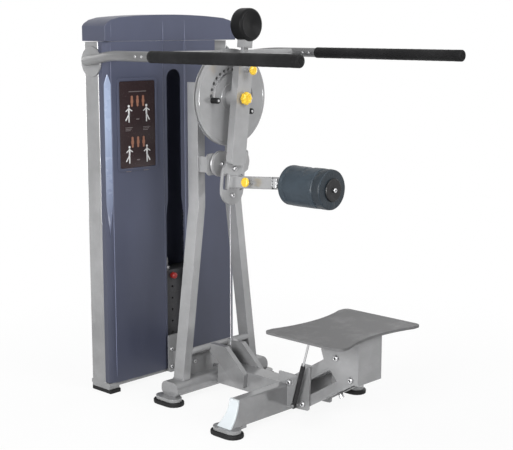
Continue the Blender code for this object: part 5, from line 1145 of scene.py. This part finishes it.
def swell(made, pinned, pressure, cap, frames=20):
    """Swells a closed cover with cloth held at its seams, and keeps the result as the mesh."""
    scene = bpy.context.scene
    made.vertex_groups.new(name="seams").add(pinned, 1.0, "REPLACE")
    cloth = made.modifiers.new("Cover", "CLOTH")
    cloth.settings.quality = 6
    cloth.settings.mass = 0.25
    cloth.settings.tension_stiffness = 22
    cloth.settings.compression_stiffness = 22
    cloth.settings.shear_stiffness = 10
    cloth.settings.bending_stiffness = 0.35
    cloth.settings.use_pressure = True
    cloth.settings.uniform_pressure_force = pressure
    cloth.settings.shrink_min = -0.035
    cloth.settings.vertex_group_mass = "seams"
    cloth.settings.effector_weights.gravity = 0
    cloth.point_cache.frame_start = 1
    cloth.point_cache.frame_end = frames
    for number in range(1, frames + 1):
        scene.frame_set(number)
    evaluated = made.evaluated_get(bpy.context.evaluated_depsgraph_get())
    moved = [vertex.co.copy() for vertex in evaluated.to_mesh().vertices]
    evaluated.to_mesh_clear()
    made.modifiers.remove(cloth)
    made.vertex_groups.clear()
    for vertex, after in zip(made.data.vertices, moved):
        step = after - vertex.co
        if step.length > cap:
            step = step.normalized() * cap
        vertex.co += step
    scene.frame_set(1)


class LEGMACHINE_OT_roller(bpy.types.Operator):
    """Builds the roller's sewn cover, swollen between its seams, with piping and stitches"""

    bl_idname = "leg_machine.roller"
    bl_label = "Roller Pad"

    def execute(self, context):
        full = ROLLER_LENGTH
        rise = sizes().pad_rise
        radius = ROLLER_RADIUS - rise - 0.0006
        easing = 0.0095
        end_depth = 0.0105
        seams = (0.0070, full * 0.80, full - 0.0070)
        flat = (0.0104, 0.020, 0.030, 0.040, 0.050, 0.058, 0.064)
        end = [(r, 0.0022 * (1 - (r / 0.075) ** 4)) for r in flat]
        end += arc_points((radius - easing, end_depth), easing, -90, 0, 8)
        side = []
        rows = 40
        for i in range(1, rows):
            along = end_depth + (full - 2 * end_depth) * i / rows
            dip = sum(0.0016 * math.exp(-((along - place) / 0.0028) ** 2) for place in seams)
            side.append((radius - dip, along))
        profile = end + side + [(r, full - h) for r, h in reversed(end)]
        mesh = mesh_of(turned(profile, ROLLER_AXIS, FORWARD, 108), "roller_cover")
        cover = linked("roller_cover", mesh)
        pinned = []
        for vertex in mesh.vertices:
            along, spoke = self.measured(vertex.co)
            if spoke.length < 0.0480 or min(abs(along - place) for place in seams) < 0.0026:
                pinned.append(vertex.index)
        swell(cover, pinned, pressure=5.0, cap=rise)
        for vertex in mesh.vertices:
            spoke = self.measured(vertex.co)[1]
            if spoke.length > 0.06:
                ripple = noise.noise(vertex.co * 55) * 0.0005 + noise.noise(vertex.co * 140) * 0.0002
                vertex.co += spoke.normalized() * ripple
        bpy.data.objects.remove(cover)
        pad = make_piece("roller_cover", mesh, "roller_vinyl", "roller", angle=60)
        mesh.materials.append(finish("roller_end_vinyl"))
        for polygon in mesh.polygons:
            if self.measured(polygon.center)[0] > seams[1]:
                polygon.material_index = 1
        smooth = pad.modifiers.new("Fair", "SUBSURF")
        smooth.levels = 1
        smooth.render_levels = 1
        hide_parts("roller_pad")
        self.piping(radius - 0.0008, (seams[0], seams[2]))
        self.stitches(radius, seams[1])
        return {"FINISHED"}

    @staticmethod
    def measured(spot):
        """How far a point is along the roller, and its spoke from the axis."""
        along = (spot - ROLLER_AXIS).dot(FORWARD)
        return along, spot - ROLLER_AXIS - FORWARD * along

    @staticmethod
    def piping(radius, seams, count=120):
        shape = bmesh.new()
        for along in seams:
            ring = [on_roller(2 * math.pi * i / count, radius, along) for i in range(count)]
            add_swept(shape, ring, lambda i: 0.0016, sides=8, closed=True)
        make_piece("roller_piping", shape, "roller_vinyl", "roller")

    @staticmethod
    def stitches(radius, seam):
        """Two rows of stitches beside the ring seam, laid on the cover."""
        shape = bmesh.new()
        pitch = sizes().stitch
        half = pitch / 2 / radius
        count = int(2 * math.pi * radius / (pitch * 1.5))
        for along in (seam - 0.0042, seam + 0.0042):
            for i in range(count):
                first = 2 * math.pi * i / count - half
                points = []
                for k in range(5):
                    lift = radius + 0.0014 - 0.0012 * abs(k - 2) / 2
                    points.append(on_roller(first + 2 * half * k / 4, lift, along))
                add_swept(shape, points, lambda k: 0.00045, sides=6)
        make_piece("roller_stitches", shape, "stitch_thread", "roller")


class LEGMACHINE_OT_end_caps(bpy.types.Operator):
    """Builds the front tube's flared ends and the pale plastic caps on them"""

    bl_idname = "leg_machine.end_caps"
    bl_label = "End Caps"

    def execute(self, context):
        for side, name in SIDES:
            low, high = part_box(name + "_end_cap")
            inner = high.x if side < 0 else low.x
            plug = self.flared(inner, side, low.z, high.z, layer=(0.0, 0.010), proud=0.0008, eased=0.0035)
            cap = make_piece(name + "_tube_cap", plug, "cap_plastic", "frame", angle=50)
            ease_edges(cap, 0.0018, angle=60, segments=2)
            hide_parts(name + "_end_cap")
            sleeve = self.flared(inner, side, low.z, high.z, layer=(None, 0.002), proud=0.0, eased=0.0010)
            make_piece(name + "_tube_end", sleeve, "silver_paint", "frame", angle=50)
        return {"FINISHED"}

    @staticmethod
    def flared(inner, side, bottom, top, layer, proud, eased):
        """A layer of the tube's end, which flares outward to its foot. None starts it at the tube."""
        rows, outward, rearward = 20, 0.042, 0.030
        shape = bmesh.new()
        rings = []
        for i in range(rows):
            share = i / (rows - 1)
            flare = share * share
            z = top + (bottom - top) * share
            seam = inner + side * outward * flare
            start = inner if layer[0] is None else seam + side * layer[0]
            outer = seam + side * layer[1]
            back = FRONT_TUBE_Y[1] + rearward * flare + proud
            front = FRONT_TUBE_Y[0] - proud
            step = side * eased
            corners = [(start, front), (outer - step, front), (outer - step * 0.3, front + eased * 0.3)]
            corners += [(outer, front + eased), (outer, back - eased)]
            corners += [(outer - step * 0.3, back - eased * 0.3), (outer - step, back), (start, back)]
            rings.append([shape.verts.new((x, y, z)) for x, y in corners])
        join_rings(shape, rings)
        return shape


class LEGMACHINE_OT_cylinder_gland(bpy.types.Operator):
    """Builds the black gland around the rod at the gas cylinder's top"""

    bl_idname = "leg_machine.cylinder_gland"
    bl_label = "Cylinder Gland"

    def execute(self, context):
        foot = Vector((-0.105, -0.2946, 0.075))
        direction = Vector((0, -0.27386, 0.96177))
        bore, wide, low, high = 0.0053, 0.0099, 0.1585, 0.1800
        profile = [(bore, low), (wide, low), (wide, high - 0.0015), (0.0085, high), (bore, high), (bore, low)]
        gland = turned(profile, foot, direction, 24)
        make_piece("cylinder_gland", gland, "black_plastic", "gas_cylinder")
        return {"FINISHED"}


class LEGMACHINE_OT_weld_beads(bpy.types.Operator):
    """Builds the weld beads where tubes and plates meet"""

    bl_idname = "leg_machine.weld_beads"
    bl_label = "Weld Beads"

    def execute(self, context):
        size = sizes().bead
        leg_foot, beam_end = 0.0925, -0.1833
        loops = []
        for side, _ in SIDES:
            x = side * 0.2040
            leg = rectangle((x - 0.020, 0.2214), (x + 0.020, 0.2814))
            loops.append([Vector((u, v, leg_foot)) for u, v in leg])
        beam = rectangle((-0.040, 0.046), (0.040, 0.131))
        loops.append([Vector((u, beam_end, v)) for u, v in beam])
        self.beads("frame_beads", "frame", loops, size)
        up = SLEEVE_PUSH.cross(SLIDE).normalized()
        root = on_lever(0, 0.0472, SLEEVE_DROP)
        half = 0.0252
        square = []
        for u, v in rectangle((-half, -half), (half, half)):
            spot = root + SLEEVE_PUSH * u + up * v
            square.append(spot + SLIDE * ((root.y - 0.0006 - spot.y) / SLIDE.y))
        self.beads("sleeve_bead", "lever", [square], size * 0.85)
        return {"FINISHED"}

    @staticmethod
    def beads(name, body, loops, size):
        shape = bmesh.new()
        for loop in loops:
            points = []
            for corner, following in zip(loop, loop[1:] + loop[:1]):
                count = max(4, int((following - corner).length / 0.0022))
                points += [corner.lerp(following, k / count) for k in range(count)]
            add_swept(shape, points, lambda i: size * (1 + 0.22 * math.sin(i * 2.4)), 8, True)
        make_piece(name, shape, "silver_paint", body, angle=70)


class LEGMACHINE_OT_placard(bpy.types.Operator):
    """Builds the bezel round the placard and its plain, generic pictograms"""

    bl_idname = "leg_machine.placard"
    bl_label = "Placard"

    def execute(self, context):
        low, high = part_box("placard")
        slope = math.atan2(-0.004, 0.1382)
        across = Vector((math.cos(slope), math.sin(slope), 0))
        out = Vector((math.sin(slope), -math.cos(slope), 0))
        front = (low + high) / 2 + out * ((high.y - low.y) / 2 * 0.30)

        def place(u, v, w):
            return front + across * u + Vector((0, 0, v)) + out * w

        shape = bmesh.new()
        outer = round_corners((-0.1075, -0.195), (0.1075, 0.195), radius=0.016, steps=8)
        inner = round_corners((-0.0965, -0.1835), (0.0965, 0.1835), radius=0.009, steps=8)
        add_frame(shape, outer, inner, -0.0020, 0.0022, place)
        bezel = make_piece("placard_bezel", shape, "slate_shell", "frame")
        ease_edges(bezel, 0.0009, angle=40, segments=2)
        inks = {"white_ink": bmesh.new(), "tan_ink": bmesh.new(), "grey_ink": bmesh.new()}
        white, tan, grey = inks.values()
        self.stroke(grey, (-0.045, 0.138), (0.045, 0.138), 0.0016, place)
        for base in (0.0, -0.172):
            for u in (-0.030, 0.0, 0.030):
                for v, half in ((0.112, 0.0052), (0.098, 0.0068), (0.084, 0.0048)):
                    self.stroke(tan, (u, base + v - 0.004), (u, base + v + 0.004), half, place)
            for u, swing in ((-0.047, -34), (0.047, 30)):
                self.figure(white, u, base + 0.012, swing, place)
                for k in range(3):
                    y = base - 0.012 - 0.0062 * k
                    self.stroke(grey, (u - 0.018, y), (u + 0.018 - 0.006 * k, y), 0.0013, place)
            self.stroke(grey, (-0.006, base + 0.022), (0.006, base + 0.022), 0.0022, place)
        for ink, shape in inks.items():
            make_piece("placard_" + ink, shape, ink, "frame")
        return {"FINISHED"}

    @staticmethod
    def stroke(shape, start, end, half, place):
        """A printed line with round ends."""
        angle = math.degrees(math.atan2(end[1] - start[1], end[0] - start[0]))
        outline = arc_points(end, half, angle - 90, angle + 90, 8)
        outline += arc_points(start, half, angle + 90, angle + 270, 8)
        add_slab(shape, outline, *PRINT_LEVELS, place)

    def figure(self, shape, u, v, swing, place):
        """A plain standing sign figure with one swung leg."""
        hip = Vector((u, v + 0.032))
        neck = Vector((u, v + 0.056))
        add_slab(shape, circle((u, v + 0.066), 0.0052, 16), *PRINT_LEVELS, place)
        angle = math.radians(swing)
        foot = hip + Vector((math.sin(angle), -math.cos(angle))) * 0.030
        strokes = [(hip, neck, 0.0040), (hip, Vector((u, v)), 0.0026), (hip, foot, 0.0026)]
        strokes += [(neck, neck + Vector(arm), 0.0020) for arm in ((0.016, -0.010), (-0.015, -0.011))]
        for start, end, half in strokes:
            self.stroke(shape, start, end, half, place)


class LEGMACHINE_OT_cables(bpy.types.Operator):
    """Builds the wire rope along its route and the drop down to the stack's stem"""

    bl_idname = "leg_machine.cables"
    bl_label = "Cables"

    def execute(self, context):
        drop_y = 0.1614
        rear_y, wrap = 0.6039, 0.0295
        route = [(drop_y, 1.0787), (drop_y, 0.62)] + arc_points((0.1964, 0.14), 0.035, 180, 270, 14)
        route += arc_points((rear_y, 0.1345), wrap, -90, 0, 14) + [(0.6334, 0.8)]
        route += arc_points((rear_y, 1.42), wrap, 0, 180, 24)
        drive = self.rope("drive_rope", [Vector((0, y, z)) for y, z in route])
        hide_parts("drive_cable")
        low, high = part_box("lift_cable")
        anchor = Vector((0, (low.y + high.y) / 2, high.z))
        points = [anchor.lerp(Vector((0, anchor.y, low.z)), i / 40) for i in range(41)]
        drop = self.rope("lift_rope", points)
        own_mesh(drop)
        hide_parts("lift_cable")
        profile = [(0, 0), (0.0050, 0), (0.0056, 0.002), (0.0056, 0.022), (0.0044, 0.025), (0, 0.025)]
        ferrule = turned(profile, (0, anchor.y, low.z - 0.0003), (0, 0, 1), 28)
        make_piece("stem_ferrule", ferrule, "bright_steel", "stack_head")
        return {"FINISHED"}

    @staticmethod
    def rope(name, path, sides=12):
        """A round line whose points carry the place along it and round it, for its strands."""
        fine = [path[0]]
        for first, second in zip(path, path[1:]):
            parts = max(1, int((second - first).length / 0.03))
            fine += [first.lerp(second, k / parts) for k in range(1, parts + 1)]
        points, along, around, faces = [], [], [], []
        run = 0.0
        for i, ring in enumerate(rings_along(fine, lambda i: ROPE_RADIUS, sides)):
            run += (fine[i] - fine[i - 1]).length if i else 0.0
            points += ring + ring[:1]
            along += [run] * (sides + 1)
            around += [k / sides for k in range(sides + 1)]
        for i in range(len(fine) - 1):
            for k in range(sides):
                a = i * (sides + 1) + k
                faces.append((a, a + 1, a + sides + 2, a + sides + 1))
        mesh = bpy.data.meshes.new(name)
        mesh.from_pydata(points, [], faces)
        for key, values in (("along", along), ("around", around)):
            mesh.attributes.new(key, "FLOAT", "POINT").data.foreach_set("value", values)
        return make_piece(name, mesh, "cable_strand", "frame", angle=80)


def face_tree(*names):
    """A tree that finds where a line meets the faces of some solids."""
    points, faces = [], []
    for name in names:
        first = len(points)
        mesh = NODES[name].data
        points += [vertex.co.copy() for vertex in mesh.vertices]
        faces += [[first + i for i in polygon.vertices] for polygon in mesh.polygons]
    return BVHTree.FromPolygons(points, faces)


class LEGMACHINE_OT_cover_trim(bpy.types.Operator):
    """Builds the corner strips and the crests along the moulded creases of the cover and cap, both pale as
    painted highlights, and the tower's rubber boots
    """

    bl_idname = "leg_machine.cover_trim"
    bl_label = "Cover Trim"

    def execute(self, context):
        self.corner_strips()
        self.creases()
        self.boots()
        return {"FINISHED"}

    @staticmethod
    def corner_strips():
        """Strips on the cover's slanted corners, which narrow to a point at both ends, pale as a painted
        highlight.
        """
        top, bottom, rows = 1.366, 0.686, 36
        for side, name in SIDES:
            shape = bmesh.new()
            rings = []
            outward = Vector((side * 0.55, -0.835, 0))
            for i in range(rows):
                z = top + (bottom - top) * i / (rows - 1)
                wide = min(1.0, 0.10 + (top - z) * 26) * min(1.0, 0.02 + (z - bottom) * 7)
                rear = Vector((side * 0.3752, 0.5226, z))
                front = Vector((side * 0.3462, 0.5036, z))
                middle = rear.lerp(front, 0.52)
                first = middle.lerp(rear, 0.80 * wide)
                last = middle.lerp(front, 0.80 * wide)
                sunk = outward * 0.0015
                spots = (first - sunk, first, middle + outward * 0.0016, last, last - sunk)
                rings.append([shape.verts.new(spot) for spot in spots])
            join_rings(shape, rings)
            make_piece(name + "_corner_strip", shape, "corner_strip", "frame", angle=20)

    @staticmethod
    def creases():
        """Thin crests along the folds of the cover and cap, pale as a painted highlight. A crest ends where
        the face steps back.
        """
        tree = face_tree("front_cover", "top_cap")
        shape = bmesh.new()
        for side, _ in SIDES:
            for x, low, high in ((0.3455, 0.075, 1.580), (0.0625, 0.200, 1.585)):
                count = int((high - low) / 0.012)
                points = []
                for i in range(count + 1):
                    start = Vector((side * x, -1, low + (high - low) * i / count))
                    spot = tree.ray_cast(start, -FORWARD)[0]
                    if spot:
                        points.append(spot - FORWARD * 0.0002)
                crests = [[points[0]]]
                for before, after in zip(points, points[1:]):
                    if abs(after.y - before.y) > 0.006:
                        crests.append([])
                    crests[-1].append(after)
                for crest in crests:
                    last = len(crest) - 1
                    if last > 1:
                        add_swept(
                            shape, crest, lambda i: 0.0004 + 0.0015 * min(1.0, i / 5, (last - i) / 5), 8
                        )
        make_piece("shell_creases", shape, "shell_crest", "frame", angle=60)

    @staticmethod
    def boots():
        shape = bmesh.new()
        for side, _ in SIDES:
            near, far = sorted((side * 0.3145, side * 0.3735))
            outline = round_corners((near, 0.5195), (far, 0.6455), radius=0.006, steps=5)
            add_slab(shape, outline, low=0.0, high=0.0165, place=on_floor)
        boots = make_piece("tower_boots", shape, "black_rubber", "frame")
        ease_edges(boots, 0.0015, angle=40, segments=2)


class LEGMACHINE_OT_foot_rings(bpy.types.Operator):
    """Builds the pressed step on each steel foot plate"""

    bl_idname = "leg_machine.foot_rings"
    bl_label = "Foot Steps"

    def execute(self, context):
        run, bottom = 0.0325, 0.0180
        shape = bmesh.new()
        for x, y in ((-0.378, -0.1936), (0.378, -0.1936), (-0.279, 0.2514), (0.279, 0.2514)):
            for half, top in ((0.0275, 0.0262), (0.0205, 0.0300)):
                outline = arc_points((x, y + run), half, 0, 180, 14)
                outline += arc_points((x, y - run), half, 180, 360, 14)
                add_slab(shape, outline, bottom, top, on_floor)
        made = make_piece("foot_steps", shape, "silver_paint", "frame")
        ease_edges(made, 0.0016, angle=40, segments=3)
        return {"FINISHED"}


# Lamps: name, place, target, size, power and spread in degrees. The card only gives gloss.

LAMPS = (
    ("left_lamp", (-3.3, -1.3, 1.3), (0, -0.2, 0.2), 1.4, 11, 60),
    ("key_lamp", (-4.9, -1.7, 2.4), (0, 0.1, 0.9), 2.6, 110, 180),
    ("front_lamp", (0.2, -2.8, 2.9), (0, 0.2, 1.35), 1.4, 14, 80),
    ("right_lamp", (3.4, 0.8, 1.2), (0, 0.1, 0.9), 2.2, 45, 180),
    ("back_lamp", (0.4, 3.6, 1.3), (0, 0.1, 1.0), 2.2, 50, 180),
    ("edge_card", (-4.3, -2.5, 0.45), (0, 0.1, 1.0), 1.1, 70, 180),
)


class LEGMACHINE_OT_stage(bpy.types.Operator):
    """Sets the camera, the studio lamps, the even surroundings and the pale floor"""

    bl_idname = "leg_machine.stage"
    bl_label = "Stage"

    def execute(self, context):
        scene = context.scene
        settings = stage()
        data = bpy.data.cameras.new("photo_camera")
        data.lens = settings.lens
        data.sensor_width = 36
        data.clip_end = 200
        camera = linked("photo_camera", data)
        camera.location = settings.place
        camera.rotation_euler = (math.pi / 2 - settings.dip, 0, -settings.turn)
        scene.camera = camera
        scene.view_settings.view_transform = "Standard"
        for name, place, target, size, power, spread in LAMPS:
            lamp = bpy.data.lights.new(name, "AREA")
            lamp.size = size
            lamp.energy = power * settings.lamps
            lamp.spread = math.radians(spread)
            made = linked(name, lamp)
            made.location = place
            made.rotation_euler = (Vector(target) - Vector(place)).to_track_quat("-Z", "Y").to_euler()
            made.visible_camera = False
            made.visible_diffuse = name != "edge_card"
        scene.world = bpy.data.worlds.new("studio")
        self.surroundings(scene.world, settings.ambient)
        self.floor()
        return {"FINISHED"}

    @staticmethod
    def surroundings(world, ambient):
        """Even light from all round, and a white background."""
        made = Finish(world, "ShaderNodeMixShader", "ShaderNodeOutputWorld")
        even = made.node("ShaderNodeBackground", {}, {"Color": (1, 1, 1), "Strength": ambient})
        white = made.node("ShaderNodeBackground", {}, {"Color": (1, 1, 1), "Strength": 1.0})
        made.mix(made.backdrop_rays(), even, white)

    @staticmethod
    def floor():
        """A pale matt floor that keeps the shadow and fades into the white background."""
        shape = bmesh.new()
        bmesh.ops.create_circle(shape, cap_ends=True, segments=96, radius=60)
        mesh = bpy.data.meshes.new("pale_floor")
        shape.to_mesh(mesh)
        shape.free()
        floor = linked("pale_floor", mesh)
        mesh.materials.append(bpy.data.materials.new("pale_floor"))
        made = Finish(mesh.materials[0], "ShaderNodeMixShader")
        away = made.node("ShaderNodeVectorMath", {"operation": "LENGTH"}, {0: made.places()}, "Value")
        matt = made.node("ShaderNodeBsdfDiffuse", {}, {"Color": (0.90, 0.90, 0.90)})
        glow = made.node("ShaderNodeEmission", {}, {"Color": (1, 1, 1), "Strength": 1.0})
        made.mix(made.backdrop_rays() * (away.between(0.8, 2.2) * 0.10 + 0.90), matt, glow)


class LEGMACHINE_PT_panel(bpy.types.Panel):
    """Lists the machine's pieces, sizes and colours"""

    bl_idname = "LEGMACHINE_PT_panel"
    bl_label = "Leg Machine"
    bl_space_type = "VIEW_3D"
    bl_region_type = "UI"
    bl_category = "Leg Machine"

    def draw(self, context):
        layout = self.layout
        for group in (colours(), sizes(), stage()):
            box = layout.box()
            for key in group.__annotations__:
                box.prop(group, key)
        for operator in PIECES:
            layout.operator(operator.bl_idname)


GROUPS = (MachineColours, MachineSizes, StageSettings)
PIECES = (
    LEGMACHINE_OT_solids,
    LEGMACHINE_OT_members,
    LEGMACHINE_OT_handle_bars,
    LEGMACHINE_OT_grips,
    LEGMACHINE_OT_cam_disc,
    LEGMACHINE_OT_stops,
    LEGMACHINE_OT_counterweight,
    LEGMACHINE_OT_knobs,
    LEGMACHINE_OT_roller,
    LEGMACHINE_OT_end_caps,
    LEGMACHINE_OT_cylinder_gland,
    LEGMACHINE_OT_weld_beads,
    LEGMACHINE_OT_fasteners,
    LEGMACHINE_OT_placard,
    LEGMACHINE_OT_cables,
    LEGMACHINE_OT_cover_trim,
    LEGMACHINE_OT_foot_rings,
    LEGMACHINE_OT_stage,
)


def register():
    for item in (*GROUPS, *PIECES, LEGMACHINE_PT_panel):
        bpy.utils.register_class(item)
    bpy.types.Scene.leg_machine_colours = PointerProperty(type=MachineColours)
    bpy.types.Scene.leg_machine_sizes = PointerProperty(type=MachineSizes)
    bpy.types.Scene.leg_machine_stage = PointerProperty(type=StageSettings)


def unregister():
    del bpy.types.Scene.leg_machine_stage
    del bpy.types.Scene.leg_machine_sizes
    del bpy.types.Scene.leg_machine_colours
    for item in (LEGMACHINE_PT_panel, *reversed(PIECES), *reversed(GROUPS)):
        bpy.utils.unregister_class(item)


def main():
    register()
    for item in PIECES:
        group, name = item.bl_idname.split(".")
        getattr(getattr(bpy.ops, group), name)()


if __name__ == "__main__":
    main()
